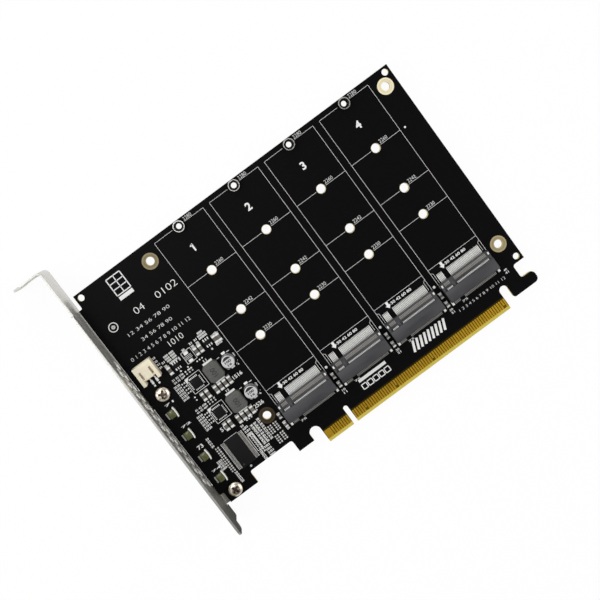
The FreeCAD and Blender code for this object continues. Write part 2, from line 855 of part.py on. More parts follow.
def make_slot_capacitors():
    """Two decoupling parts in the middle of the gap before each socket."""
    pieces = []
    for slot_x in slot_xs:
        x = slot_x - slot_pitch / 2
        pieces += chip(x, module_seat_y + slot_capacitor_above_seat, medium_chip, True)
        pieces += chip(x, module_seat_y - slot_chip_below_seat, medium_chip, True)
    return Part.makeCompound(pieces)


def small_block(x, y, upright):
    """Smallest chips as plain blocks."""
    length, width, height = small_chip
    size_x, size_y = (width, length) if upright else (length, width)
    return centred_block(x, y, 0.0, size_x, size_y, height)


def make_small_chips():
    """Termination and feedback parts in rows round the clock buffer and the converters."""
    pieces = []
    for from_edge, first_y, last_y in small_chip_columns:
        for index in range(round((first_y - last_y) / small_chip_pitch) + 1):
            pieces.append(small_block(board_left + from_edge, first_y - index * small_chip_pitch, False))
    column_x, column_y = converter_chip_column_offset
    row_x, row_y = converter_chip_row_offset
    for y in converter_y:
        for index in range(converter_chips):
            along = index * converter_chip_pitch
            pieces.append(small_block(converter_x + column_x, y + column_y - along, False))
            pieces.append(small_block(converter_x + row_x + along, y + row_y, True))
    return Part.makeCompound(pieces)


# ---------------------------------------------------------------- status lights
def make_light(index):
    """Status light that shines through the bracket: lens, housing behind it and terminal before it."""
    y = light_first_y + index * light_pitch
    x = board_left + light_from_edge
    lens = centred_block(x, y, 0.0, light_length, light_width, light_height)
    top_edges = [edge for edge in lens.Edges if edge.BoundBox.ZMin > light_height - 1e-3]
    lens = lens.makeChamfer(light_edge, top_edges)
    housing_x = x + (light_length + light_housing_length) / 2
    housing = centred_block(housing_x, y, 0.0, light_housing_length, light_housing_width,
                            light_housing_height)
    terminal_x = x - (light_length + light_terminal_length) / 2
    terminal = centred_block(terminal_x, y, 0.0, light_terminal_length, light_terminal_width,
                             light_terminal_height)
    return lens, housing, terminal


# ---------------------------------------------------------------- build
def main():
    os.makedirs("parts", exist_ok=True)
    save("circuit_board", make_board())
    save("contacts_component_side", contact_row(0.0, power_contacts, presence_contacts))
    save("contacts_solder_side", contact_row(board_bottom_z - contact_thickness, 0, (1,)))
    save("mounting_rings", make_mounting_rings())
    for number, x in enumerate(slot_xs, 1):
        save("socket_%d_housing" % number, make_socket_housing(x))
        save("socket_%d_contacts" % number, make_socket_contacts(x))
        save("standoff_%d" % number, make_standoff(x))
    save("bracket", make_bracket())
    for name, y in zip(("lower", "upper"), screw_ys):
        save("bracket_screw_" + name, make_screw(y))
    save("fan_connector_housing", make_fan_housing())
    save("fan_connector_pins", make_fan_pins())
    buffer_body, buffer_leads = make_buffer()
    save("clock_buffer_body", buffer_body)
    save("clock_buffer_leads", buffer_leads)
    chip_bodies, chip_leads = make_monitor_chips()
    save("monitor_chip_bodies", chip_bodies)
    save("monitor_chip_leads", chip_leads)
    terminal_pieces = []
    for number, y in enumerate(converter_y, 1):
        save("converter_%d" % number, make_converter(y))
        inductor, terminals = make_inductor(y)
        save("inductor_%d" % number, inductor)
        terminal_pieces += terminals
        can, base, terminals = make_can(y)
        save("can_capacitor_%d" % number, can)
        save("can_capacitor_base_%d" % number, base)
        terminal_pieces += terminals
        save("power_capacitors_%d" % number, make_power_capacitors(y))
    save("power_terminals", Part.makeCompound(terminal_pieces))
    save("fan_fuse", Part.makeCompound(chip(board_left + fuse_place[0], fuse_place[1], fuse_size, True)))
    save("upper_capacitors", make_upper_capacitors())
    save("slot_capacitors", make_slot_capacitors())
    save("small_chips", make_small_chips())
    housings, terminals = [], []
    for index in range(light_count):
        lens, housing, terminal = make_light(index)
        save("status_light_%d" % (index + 1), lens)
        housings.append(housing)
        terminals.append(terminal)
    save("status_light_housings", Part.makeCompound(housings))
    save("status_light_terminals", Part.makeCompound(terminals))


main()
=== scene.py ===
"""Looks of a four-slot solid-state drive adapter card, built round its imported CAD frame."""

import json
import math

import bmesh
import bpy
from bpy.props import FloatProperty, FloatVectorProperty, IntProperty, PointerProperty
from bpy.types import Operator, Panel, PropertyGroup
from mathutils import Matrix, Vector


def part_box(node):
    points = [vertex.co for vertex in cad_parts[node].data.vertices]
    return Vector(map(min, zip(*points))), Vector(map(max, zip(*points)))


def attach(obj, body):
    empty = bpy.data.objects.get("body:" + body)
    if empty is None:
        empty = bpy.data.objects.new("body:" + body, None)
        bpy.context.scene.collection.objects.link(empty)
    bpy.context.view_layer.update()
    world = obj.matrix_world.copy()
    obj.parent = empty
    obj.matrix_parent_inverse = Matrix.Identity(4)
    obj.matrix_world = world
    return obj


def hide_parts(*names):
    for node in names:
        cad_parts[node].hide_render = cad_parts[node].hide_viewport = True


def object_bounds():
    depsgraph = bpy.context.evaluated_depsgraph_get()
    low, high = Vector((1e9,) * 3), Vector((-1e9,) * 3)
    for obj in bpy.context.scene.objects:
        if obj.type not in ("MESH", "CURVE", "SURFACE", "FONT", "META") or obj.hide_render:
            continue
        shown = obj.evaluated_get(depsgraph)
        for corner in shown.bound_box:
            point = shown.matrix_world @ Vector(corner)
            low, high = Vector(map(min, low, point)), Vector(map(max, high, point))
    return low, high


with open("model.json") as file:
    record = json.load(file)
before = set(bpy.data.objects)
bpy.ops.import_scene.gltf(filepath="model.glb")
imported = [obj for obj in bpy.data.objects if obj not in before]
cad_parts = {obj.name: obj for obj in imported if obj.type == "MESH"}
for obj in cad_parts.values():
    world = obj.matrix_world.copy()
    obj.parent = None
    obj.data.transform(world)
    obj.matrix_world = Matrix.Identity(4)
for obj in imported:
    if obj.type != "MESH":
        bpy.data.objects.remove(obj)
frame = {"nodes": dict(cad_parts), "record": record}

bl_info = {
    "name": "Drive adapter card",
    "version": (1, 0, 0),
    "blender": (4, 5, 0),
    "location": "View3D > Sidebar > Adapter card",
    "description": "Dresses the frame of a four-slot drive adapter card and sets its studio",
    "category": "Object",
}

MM = 0.001
BODY = "root"
CAD_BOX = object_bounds()
BOARD_LOW, BOARD_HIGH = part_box("circuit_board")
MOUNTS = {mount["name"]: Vector(mount["pos_m"]) for mount in frame["record"]["mounts"]}
SLOTS = [MOUNTS["drive_socket_%d" % number] for number in (1, 2, 3, 4)]
DRIVE_LENGTHS = {
    30: MOUNTS["hole_30_slot_1"].y - SLOTS[0].y,
    42: MOUNTS["hole_42_slot_1"].y - SLOTS[0].y,
    60: MOUNTS["hole_60_slot_1"].y - SLOTS[0].y,
    80: MOUNTS["standoff_thread_1"].y - SLOTS[0].y,
}
INK_HEIGHT = 0.03 * MM
ON_AXIS = 1e-9                          # a radius below this is a point on the axis
SAME_POINT = 1e-7                       # points of a CAD mesh closer than this are one
INK_LOW_SHARES = (0.82, 0.82, 0.827)    # the ink's darker tone, as shares of its colour


# ------------------------------------------------------------------ sizes and colours a user may change
class LegendSettings(PropertyGroup):
    line_width: FloatProperty(
        name="Line width", description="Width of the printed lines round each slot",
        default=0.115 * MM, unit="LENGTH", precision=5)
    part_line_width: FloatProperty(
        name="Part line width", description="Width of the printed frames and bars round the small parts",
        default=0.17 * MM, unit="LENGTH", precision=5)
    slot_number_height: FloatProperty(
        name="Slot number height", description="Height of the bold number in each slot",
        default=3.1 * MM, unit="LENGTH", precision=5)
    length_number_height: FloatProperty(
        name="Length number height", description="Height of the drive length beside each hole",
        default=1.35 * MM, unit="LENGTH", precision=5)
    hole_gap: FloatProperty(
        name="Gap at holes", description="From a hole's centre to where the printed line stops",
        default=2.2 * MM, unit="LENGTH", precision=5)
    ink: FloatVectorProperty(
        name="Ink", description="Colour of the printed legend", subtype="COLOR",
        default=(0.855, 0.855, 0.831), min=0.0, max=1.0)


class SocketSettings(PropertyGroup):
    edge_round: FloatProperty(
        name="Edge round", description="Rounding of the moulded edges",
        default=0.1 * MM, unit="LENGTH", precision=5)
    pad_width: FloatProperty(
        name="Pad width", description="Width of the solder pad under each tail",
        default=0.36 * MM, unit="LENGTH", precision=5)
    spring_width: FloatProperty(
        name="Spring width", description="Width of each contact spring",
        default=0.28 * MM, unit="LENGTH", precision=5)
    tail_step: FloatProperty(
        name="Tail step", description="From a tail in front to the next one behind, along the socket",
        default=0.25 * MM, unit="LENGTH", precision=5)


class PartSettings(PropertyGroup):
    package_round: FloatProperty(
        name="Package round", description="Rounding of the moulded packages' edges",
        default=0.08 * MM, unit="LENGTH", precision=5)
    fillet_reach: FloatProperty(
        name="Solder reach", description="How far solder runs out beyond a chip's end",
        default=0.28 * MM, unit="LENGTH", precision=5)
    via_diameter: FloatProperty(
        name="Via diameter", description="Outer diameter of the small plated holes",
        default=0.6 * MM, unit="LENGTH", precision=5)
    lathe_steps: IntProperty(
        name="Turned part steps", description="Sides of screws, standoffs and can capacitors",
        default=64, min=12, max=160)


class StudioSettings(PropertyGroup):
    camera_place: FloatVectorProperty(
        name="Camera place", description="Where the camera stands",
        subtype="TRANSLATION", unit="LENGTH", default=(0.0144, 0.10096, 0.44105))
    camera_target: FloatVectorProperty(
        name="Camera target", description="Point on the board that the camera looks at",
        subtype="TRANSLATION", unit="LENGTH", default=(0.01043, 0.04982, 0.0))
    camera_roll: FloatProperty(
        name="Camera roll", description="Turn of the camera about its line of sight",
        subtype="ANGLE", default=math.radians(-36.642))
    focal_length: FloatProperty(
        name="Focal length", description="Lens length in millimetres", default=72.0, min=10.0)
    key_power: FloatProperty(
        name="Softbox power", description="Power of each large side softbox in watts", default=6.4, min=0.0)
    world_level: FloatProperty(
        name="Room level", description="Even light from the room", default=0.26, min=0.0)


# ------------------------------------------------------------------ nodes and materials
NOISE_SPAN = (0.3, 0.7)         # nearly all of a noise lies between these
FULL_SPAN = (0.0, 1.0)
METAL = {"Metallic": 1.0}


def linear(hex_colour):
    """Linear RGBA from an sRGB hex value."""
    channels = [int(hex_colour[index:index + 2], 16) / 255 for index in (1, 3, 5)]
    return [c / 12.92 if c <= 0.04045 else ((c + 0.055) / 1.055) ** 2.4 for c in channels] + [1.0]


def add_node(tree, kind, settings=None, inputs=None):
    """Add one node with its settings, and give its inputs their values or links."""
    node = tree.nodes.new(kind)
    for name, value in (settings or {}).items():
        setattr(node, name, value)
    for name, value in (inputs or {}).items():
        if isinstance(value, bpy.types.NodeSocket):
            tree.links.new(value, node.inputs[name])
        else:
            node.inputs[name].default_value = value
    return node


def object_place(tree, stretch=None):
    """Object coordinates, scaled by axis where a grain is drawn out."""
    place = add_node(tree, "ShaderNodeTexCoord").outputs["Object"]
    if stretch is None:
        return place
    return add_node(tree, "ShaderNodeMapping", inputs={"Vector": place, "Scale": stretch}).outputs["Vector"]


def noise(tree, place, grain_mm, detail=3.0, roughness=0.5):
    """Noise with a grain of real size."""
    return add_node(tree, "ShaderNodeTexNoise", inputs={
        "Vector": place, "Scale": 1 / (grain_mm * MM), "Detail": detail,
        "Roughness": roughness}).outputs["Fac"]


def calculate(tree, operation, *values):
    """Result of one sum or comparison."""
    return add_node(tree, "ShaderNodeMath", {"operation": operation}, dict(enumerate(values))).outputs[0]


def parts_of(tree, vector):
    """The X, Y and Z of a vector, by name."""
    return add_node(tree, "ShaderNodeSeparateXYZ", inputs={"Vector": vector}).outputs


def facing(tree, axis):
    """How squarely a face looks along an axis, either way."""
    normal = add_node(tree, "ShaderNodeNewGeometry").outputs["True Normal"]
    return calculate(tree, "ABSOLUTE", parts_of(tree, normal)[axis])


def blend(tree, factor, low, high, **settings):
    """Colour from low to high by a factor; each is a hex value, a linear colour or another node's colour."""
    low, high = (linear(colour) if isinstance(colour, str) else colour for colour in (low, high))
    return add_node(tree, "ShaderNodeMix", {"data_type": "RGBA", **settings},
                    {"Factor": factor, 6: low, 7: high}).outputs[2]


def spread(tree, value, target, source=NOISE_SPAN):
    """Value carried from one range over to another."""
    return add_node(tree, "ShaderNodeMapRange", inputs={
        "Value": value, "From Min": source[0], "From Max": source[1],
        "To Min": target[0], "To Max": target[1]}).outputs["Result"]


def relief(tree, height, depth_mm, strength=0.6):
    """Normal bumped by a height of real depth."""
    return add_node(tree, "ShaderNodeBump", inputs={
        "Height": height, "Distance": depth_mm * MM, "Strength": strength}).outputs["Normal"]


def tone_ramp(tree, low, high, between):
    """Colour by each copy's own tone, from low to high with (tone, hex) stops between."""
    tone = add_node(tree, "ShaderNodeAttribute", {"attribute_name": "tone"})
    ramp = add_node(tree, "ShaderNodeValToRGB", inputs={"Fac": tone.outputs["Fac"]})
    stops = ramp.color_ramp.elements
    stops[0].color, stops[1].color = linear(low), linear(high)
    for place, colour in between:
        stops.new(place).color = linear(colour)
    return ramp.outputs["Color"]


def start_material(name):
    """Empty node material; returns the material and its tree."""
    material = bpy.data.materials.new(name)
    material.use_nodes = True
    material.node_tree.nodes.clear()
    return material, material.node_tree


def shade(tree, colour, roughness, normal=None, surface=None):
    """Close a material with its shader and output."""
    inputs = {"Base Color": colour, "Roughness": roughness, **(surface or {})}
    if normal is not None:
        inputs["Normal"] = normal
    shader = add_node(tree, "ShaderNodeBsdfPrincipled", inputs=inputs)
    add_node(tree, "ShaderNodeOutputMaterial", inputs={"Surface": shader.outputs["BSDF"]})


def mottled(name, tones, roughness, grain_mm, relief_mm=0.0, stretch=None, surface=None):
    """Material whose colour and roughness drift between two values over a grain of real size."""
    material, tree = start_material(name)
    grain = noise(tree, object_place(tree, stretch), grain_mm, 4.0, 0.6)
    normal = relief(tree, grain, relief_mm) if relief_mm else None
    shade(tree, blend(tree, grain, *tones), spread(tree, grain, roughness), normal, surface)
    return material


def solder_mask_material():
    """Satin black solder mask over glass-fibre laminate.

    The mask is a thin sprayed coat, near black with a slight orange peel. The laminate shows dark olive
    between the edge contacts, where the mask stops, and lighter olive past their ends. Bevels, holes and
    routed edges are pale straw.
    """
    mask_edge, contact_end, beside = 5.3 * MM, 2.9 * MM, 0.5 * MM
    first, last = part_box("contacts_component_side")
    material, tree = start_material("solder_mask_over_laminate")
    place = object_place(tree)
    peel = noise(tree, place, 0.5)
    weave = noise(tree, object_place(tree, (1.0, 0.15, 1.0)), 0.35, 2.0)
    side = calculate(tree, "LESS_THAN", facing(tree, "Z"), 0.98)
    here = parts_of(tree, place)
    bare = calculate(tree, "LESS_THAN", here["Y"], mask_edge)
    for operation, edge in (("LESS_THAN", last.x + beside), ("GREATER_THAN", first.x - beside)):
        bare = calculate(tree, "MULTIPLY", bare, calculate(tree, operation, here["X"], edge))
    past_contacts = calculate(tree, "LESS_THAN", here["Y"], contact_end)
    laminate = blend(tree, past_contacts, blend(tree, weave, "#241b02", "#3a2f08"), "#5c4a10")
    faces = blend(tree, bare, blend(tree, peel, "#050506", "#08080a"), laminate)
    tone = blend(tree, side, faces, blend(tree, weave, "#b7a43a", "#dccb68"))
    shade(tree, tone, spread(tree, peel, (0.36, 0.46)), relief(tree, peel, 0.004, 0.5),
          {"Specular IOR Level": 0.05})
    return material


def chip_body_material():
    """Sintered ceramic of the chip parts; each chip has its own tone, from near black to warm grey."""
    material, tree = start_material("sintered_ceramic")
    tone = tone_ramp(tree, "#141416", "#77736e", ((0.5, "#4a4642"),))
    grain = noise(tree, object_place(tree), 0.12)
    shade(tree, tone, spread(tree, grain, (0.42, 0.62), FULL_SPAN), surface={"Specular IOR Level": 0.4})
    return material


def plated_land_material():
    """Flash gold over copper on the bare lands: by each one's tone, from dull brown to bright, which is
    painted reflection that differs from land to land.
    """
    material, tree = start_material("flash_gold_land")
    tone = tone_ramp(tree, "#352c20", "#f3e8c6", ((0.33, "#7d745a"), (0.66, "#b9aa84")))
    grain = noise(tree, object_place(tree), 0.8)
    shade(tree, tone, spread(tree, grain, (0.4, 0.56)), surface=METAL)
    return material


def nickel_with_painted_shade(name, shade_tone, top_tone, top, depth_mm):
    """Nickel plate that is bright at the top of a part and darker with depth below it: painted shade in its
    recesses and on its lower faces.
    """
    unshaded_top_mm = 0.12
    material, tree = start_material(name)
    place = object_place(tree)
    # Painted shade: the colour darkens with depth below the part's top
    painted_shade_mix = spread(tree, parts_of(tree, place)["Z"], FULL_SPAN, (top - depth_mm * MM, top - unshaded_top_mm * MM))
    grain = noise(tree, place, 0.6)
    shade(tree, blend(tree, painted_shade_mix, shade_tone, top_tone), spread(tree, grain, (0.2, 0.34)), surface=METAL)
    return material


def bracket_material():
    """Nickel over cold-rolled steel sheet: satin grey with rolling lines along it.

    It is a little duller on sheared edges, and has painted shade along its lower two thirds, darkest at the
    tongue.
    """
    low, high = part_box("bracket")
    upper_rim, unshaded_share = 1.0 * MM, 0.35
    material, tree = start_material("nickel_on_rolled_steel")
    grain = noise(tree, object_place(tree, (1.0, 0.08, 1.0)), 0.7, 4.0, 0.6)
    here = parts_of(tree, object_place(tree))
    sheared = calculate(tree, "MULTIPLY", calculate(tree, "LESS_THAN", facing(tree, "X"), 0.5),
                        calculate(tree, "LESS_THAN", here["Z"], high.z - upper_rim))
    tone = blend(tree, sheared, blend(tree, grain, "#c4c3be", "#e2e1dc"), "#c6c5c0")
    # Painted shade: the tone falls off from the upper third of the sheet down to the tongue
    along = spread(tree, here["Y"], FULL_SPAN, (low.y, high.y - unshaded_share * (high.y - low.y)))
    tone = blend(tree, 1.0, tone, blend(tree, along, "#bdbdbd", "#ffffff"), blend_type="MULTIPLY")
    shade(tree, tone, spread(tree, grain, (0.4, 0.52)), relief(tree, grain, 0.002), {"Metallic": 0.78})
    return material


def white_stage_material():
    """Matt white paper sweep: seen directly, mirrored or through glass it stays close to white."""
    glow_share = 0.95
    material, tree = start_material("white_paper_sweep")
    paper = add_node(tree, "ShaderNodeBsdfDiffuse", inputs={"Color": linear("#f4f4f4")})
    glow = add_node(tree, "ShaderNodeEmission", inputs={"Color": linear("#ffffff"), "Strength": 1.0})
    rays = add_node(tree, "ShaderNodeLightPath").outputs
    seen = calculate(tree, "MAXIMUM", rays["Is Camera Ray"], rays["Is Glossy Ray"])
    seen = calculate(tree, "MAXIMUM", seen, rays["Is Transmission Ray"])
    both = add_node(tree, "ShaderNodeMixShader", inputs={
        "Fac": calculate(tree, "MULTIPLY", seen, glow_share),
        1: paper.outputs["BSDF"], 2: glow.outputs["Emission"]})
    add_node(tree, "ShaderNodeOutputMaterial", inputs={"Surface": both.outputs["Shader"]})
    return material


def make_materials(scene):
    """Every finish on the card, by a short name."""
    ink = scene.card_legend.ink
    ink_tones = [(*(share * channel for share, channel in zip(shares, ink)), 1.0)
                 for shares in (INK_LOW_SHARES, (1.0, 1.0, 1.0))]
    standoff_top, screw_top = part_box("standoff_1")[1].z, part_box("bracket_screw_upper")[1].z
    return {
        "board": solder_mask_material(),
        "chip": chip_body_material(),
        "land": plated_land_material(),
        "bracket": bracket_material(),
        "paper": white_stage_material(),
        # Near-black card seen only in reflections: painted shade in the bracket's reflections, taking nearly
        # all light.
        "reflected_shade": mottled("reflected_shade_card", ("#040404", "#070707"), (0.9, 0.95), 1.0,
                              surface={"Specular IOR Level": 0.0}),
        # Hard gold over nickel, wiped along the way the card goes in: warm, with fine upright streaks.
        "gold": mottled("hard_gold_plating", ("#c4961c", "#dcb13a"), (0.30, 0.44), 0.6, 0.002,
                        (3.0, 0.25, 1.0), METAL),
        # Glass-filled liquid-crystal polymer, moulded: charcoal, with faint flow marks along the socket.
        "socket": mottled("moulded_liquid_crystal_polymer", ("#1f1f22", "#3a3a3d"), (0.38, 0.55), 1.3, 0.01,
                          (0.25, 1.0, 1.0), {"Specular IOR Level": 0.5}),
        # Matt tin with reflowed solder: bright grey, slightly uneven.
        "tin": mottled("reflowed_tin", ("#d6d6d3", "#f4f4f1"), (0.42, 0.6), 0.35, 0.006, surface=METAL),
        # Tin dulled by flux, on the buffer's leads, the sockets' rear tails and the lights: mid grey.
        "dull_tin": mottled("flux_dulled_tin", ("#8d8b85", "#b0aea8"), (0.5, 0.65), 0.35, 0.006,
                            surface=METAL),
        # Phosphor bronze springs under a thin flash: a darker warm grey, which is painted shade for springs
        # that sit in shade.
        "spring": mottled("flashed_phosphor_bronze", ("#8c8883", "#b0aca6"), (0.4, 0.55), 0.4, 0.003,
                          surface=METAL),
        # Nickel over turned brass: neutral, with painted shade darkening its recesses and grooves.
        "standoff": nickel_with_painted_shade("nickel_on_turned_brass", "#2e2c2a", "#cfccc7", standoff_top, 0.9),
        # Nickel over a cold-headed steel screw: warm, with painted shade darkening its cross recess and the
        # lower edge of its head.
        "screw": nickel_with_painted_shade("nickel_on_headed_steel", "#6e6155", "#ece1d0", screw_top, 1.15),
        # Natural nylon: ivory and slightly waxy.
        "nylon": mottled("natural_nylon", ("#e6dcc2", "#f3ead3"), (0.42, 0.56), 1.2, 0.006,
                         surface={"Subsurface Weight": 0.12, "Subsurface Scale": 0.5 * MM}),
        # Transfer-moulded epoxy with a fine spark-eroded grain: black.
        "epoxy": mottled("moulded_epoxy", ("#090909", "#0f0f10"), (0.55, 0.72), 0.12, 0.006,
                         surface={"Specular IOR Level": 0.14}),
        # Pressed iron powder under thin grey lacquer: mid grey with dark specks.
        "powder": mottled("pressed_iron_powder", ("#0c0c0c", "#6a6a66"), (0.45, 0.65), 0.35, 0.02),
        # Drawn aluminium can, bare and bright.
        "can": mottled("drawn_aluminium", ("#c2c2c2", "#d6d6d6"), (0.4, 0.55), 0.5, 0.002, surface=METAL),
        # White reflector plastic beside each light.
        "white": mottled("white_reflector_plastic", ("#f2f2ea", "#fbfbf5"), (0.4, 0.55), 0.8, 0.004),
        # Olive-tinted casting resin over a dark pad.
        "lens": mottled("tinted_casting_resin", ("#2c3010", "#6c7040"), (0.12, 0.22), 1.4, 0.002,
                        surface={"Coat Weight": 0.5, "Coat Roughness": 0.08}),
        # White epoxy ink, screen printed: slightly ragged and never quite white.
        "ink": mottled("white_epoxy_ink", ink_tones, (0.5, 0.65), 0.4),
        # Black stamping ink on the metal cans, and the grey laser mark on dark packages.
        "black_ink": mottled("black_stamping_ink", ("#0f0f10", "#19191a"), (0.4, 0.55), 0.3),
        "grey_mark": mottled("burnt_grey_mark", ("#262625", "#333331"), (0.5, 0.7), 0.3),
    }


FINISH = {}


# ------------------------------------------------------------------ mesh tools
def mesh_object(name, mesh):
    """New object that holds a mesh, at the origin."""
    piece = bpy.data.objects.new(name, mesh)
    bpy.context.scene.collection.objects.link(piece)
    return piece


def bmesh_object(name, form):
    """New object from a finished bmesh, which is freed."""
    mesh = bpy.data.meshes.new(name)
    form.to_mesh(mesh)
    form.free()
    return mesh_object(name, mesh)


def bake_modifiers(piece):
    """Turn a piece with modifiers into a plain mesh."""
    shown = piece.evaluated_get(bpy.context.evaluated_depsgraph_get())
    mesh = bpy.data.meshes.new_from_object(shown)
    piece.modifiers.clear()
    piece.data = mesh
    return piece


def smooth_by_angle(piece, degrees=35.0):
    """Shade a piece smooth and keep edges sharper than the angle crisp."""
    piece.data.shade_smooth()
    piece.data.set_sharp_from_angle(angle=math.radians(degrees))


def finish_piece(piece, finish, replaced=()):
    """Give a piece its material and body, and hide the CAD nodes it stands for."""
    piece.data.materials.clear()
    piece.data.materials.append(FINISH[finish])
    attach(piece, BODY)
    if replaced:
        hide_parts(*replaced)
    return piece


def dress_node(node, finish):
    """Give a CAD node that stays in view its material."""
    for material_slot in frame["nodes"][node].material_slots:
        material_slot.material = FINISH[finish]


def merged_form(node):
    """Bmesh copy of a CAD node with its doubled points merged."""
    form = bmesh.new()
    form.from_mesh(frame["nodes"][node].data)
    bmesh.ops.remove_doubles(form, verts=form.verts, dist=SAME_POINT)
    return form


def solid_boxes(node):
    """Low and high corner of every solid in a CAD node, where touching solids count as one."""
    form = merged_form(node)
    waiting = set(form.verts)
    boxes = []
    while waiting:
        reached = [waiting.pop()]
        for vertex in reached:
            for edge in vertex.link_edges:
                other = edge.other_vert(vertex)
                if other in waiting:
                    waiting.discard(other)
                    reached.append(other)
        places = [vertex.co for vertex in reached]
        boxes.append((Vector([min(p[axis] for p in places) for axis in range(3)]),
                      Vector([max(p[axis] for p in places) for axis in range(3)])))
    form.free()
    return sorted(boxes, key=lambda box: (round(box[0].x, 6), round(box[0].y, 6)))


def softened_node(node, name, round_width, finish, segments=2):
    """Stand-in for a CAD node with its sharp edges rounded."""
    form = merged_form(node)
    bmesh.ops.dissolve_limit(form, angle_limit=math.radians(1.0), verts=form.verts, edges=form.edges)
    piece = bmesh_object(name, form)
    bevel = piece.modifiers.new("edges", "BEVEL")
    bevel.width, bevel.segments = round_width, segments
    bevel.limit_method, bevel.angle_limit = "ANGLE", math.radians(30)
    bake_modifiers(piece)
    smooth_by_angle(piece)
    return finish_piece(piece, finish, [node])


def add_ring(form, radius, z, steps, centre=Vector((0, 0, 0))):
    """Add a ring of points about Z to a bmesh, or the one point on the axis; returns them."""
    if radius < ON_AXIS:
        return [form.verts.new(centre + Vector((0, 0, z)))]
    angles = [2 * math.pi * step / steps for step in range(steps)]
    return [form.verts.new(centre + Vector((radius * math.cos(angle), radius * math.sin(angle), z)))
            for angle in angles]


def turned_object(name, profile, steps, centre=(0, 0, 0)):
    """Solid of revolution about Z from (radius, z) points that start and end on the axis."""
    form = bmesh.new()
    centre = Vector(centre)
    rings = []
    for radius, z in profile:
        rings.append(add_ring(form, radius, z, steps, centre))
    for lower, upper in zip(rings, rings[1:] + rings[:1]):
        if len(lower) == len(upper) == 1:
            continue
        for step in range(steps):
            following = (step + 1) % steps
            corners = [lower[step % len(lower)], lower[following % len(lower)],
                       upper[following % len(upper)], upper[step % len(upper)]]
            form.faces.new(list(dict.fromkeys(corners)))
    bmesh.ops.recalc_face_normals(form, faces=form.faces)
    return bmesh_object(name, form)


def close_prism(form, lower, upper):
    """Add the two ends and the sides between two equal rings of points."""
    form.faces.new(list(reversed(lower)))
    form.faces.new(upper)
    for index in range(len(lower)):
        following = (index + 1) % len(lower)
        form.faces.new([lower[index], lower[following], upper[following], upper[index]])


def add_box(form, low, high):
    """Add a closed box to a bmesh."""
    corners = [form.verts.new((x, y, z)) for z in (low[2], high[2]) for y in (low[1], high[1])
               for x in (low[0], high[0])]
    for face in ((0, 2, 3, 1), (4, 5, 7, 6), (0, 1, 5, 4), (1, 3, 7, 5), (3, 2, 6, 7), (2, 0, 4, 6)):
        form.faces.new([corners[index] for index in face])


def add_stroke(form, start, end, width, low_z=0.0):
    """Add a straight printed bar between two points to a bmesh."""
    start, end = Vector(start), Vector(end)
    along = (end - start).normalized()
    across = Vector((-along.y, along.x)) * width / 2
    ring = [start - across, end - across, end + across, start + across]
    add_shape(form, [(corner.x, corner.y) for corner in ring], low_z)


def add_outline(form, low, high, width):
    """Add a printed rectangle as four bars."""
    corners = [(low[0], low[1]), (high[0], low[1]), (high[0], high[1]), (low[0], high[1])]
    for index, corner in enumerate(corners):
        add_stroke(form, corner, corners[(index + 1) % 4], width)


def add_shape(form, outline, low_z=0.0, height=INK_HEIGHT):
    """Add a flat plate with the given outline to a bmesh."""
    lower = [form.verts.new((x, y, low_z)) for x, y in outline]
    upper = [form.verts.new((x, y, low_z + height)) for x, y in outline]
    close_prism(form, lower, upper)


def add_arc(form, centre, radius, start, end, width, steps=16, low_z=0.0):
    """Add a printed arc, angles in degrees, as short bars."""
    angles = [math.radians(start + (end - start) * step / steps) for step in range(steps + 1)]
    points = [(centre[0] + radius * math.cos(angle), centre[1] + radius * math.sin(angle))
              for angle in angles]
    for first, second in zip(points, points[1:]):
        add_stroke(form, first, second, width, low_z)


def add_dot(form, centre, diameter, steps=12, low_z=0.0):
    """Add a printed round dot."""
    add_arc(form, centre, diameter / 2, 0, 360, diameter, steps, low_z)


def add_number(form, text, centre, height, boldness=0.0, low_z=0.0, turn=0.0, width=None):
    """Add printed digits to a bmesh, with the given height and centre, and width where it is set."""
    curve = bpy.data.curves.new("digits", "FONT")
    curve.body, curve.offset, curve.extrude, curve.resolution_u = text, boldness, 0.1, 3
    holder = bpy.data.objects.new("digits", curve)
    bpy.context.scene.collection.objects.link(holder)
    mesh = bpy.data.meshes.new_from_object(holder.evaluated_get(bpy.context.evaluated_depsgraph_get()))
    bpy.data.objects.remove(holder)
    places = [vertex.co for vertex in mesh.vertices]
    low = [min(p[axis] for p in places) for axis in range(3)]
    high = [max(p[axis] for p in places) for axis in range(3)]
    scale_y = height / (high[1] - low[1])
    scale_x = width / (high[0] - low[0]) if width else scale_y
    fit = (Matrix.Translation((centre[0], centre[1], low_z))
           @ Matrix.Rotation(math.radians(turn), 4, "Z")
           @ Matrix.Diagonal((scale_x, scale_y, INK_HEIGHT / (high[2] - low[2]), 1.0))
           @ Matrix.Translation((-(low[0] + high[0]) / 2, -(low[1] + high[1]) / 2, -low[2])))
    mesh.transform(fit)
    form.from_mesh(mesh)
    bpy.data.meshes.remove(mesh)


# ------------------------------------------------------------------ repeats, by geometry nodes
def tree_socket(tree, name, kind, direction="INPUT"):
    """Add a named input or output to a node tree."""
    return tree.interface.new_socket(name, in_out=direction, socket_type=kind)


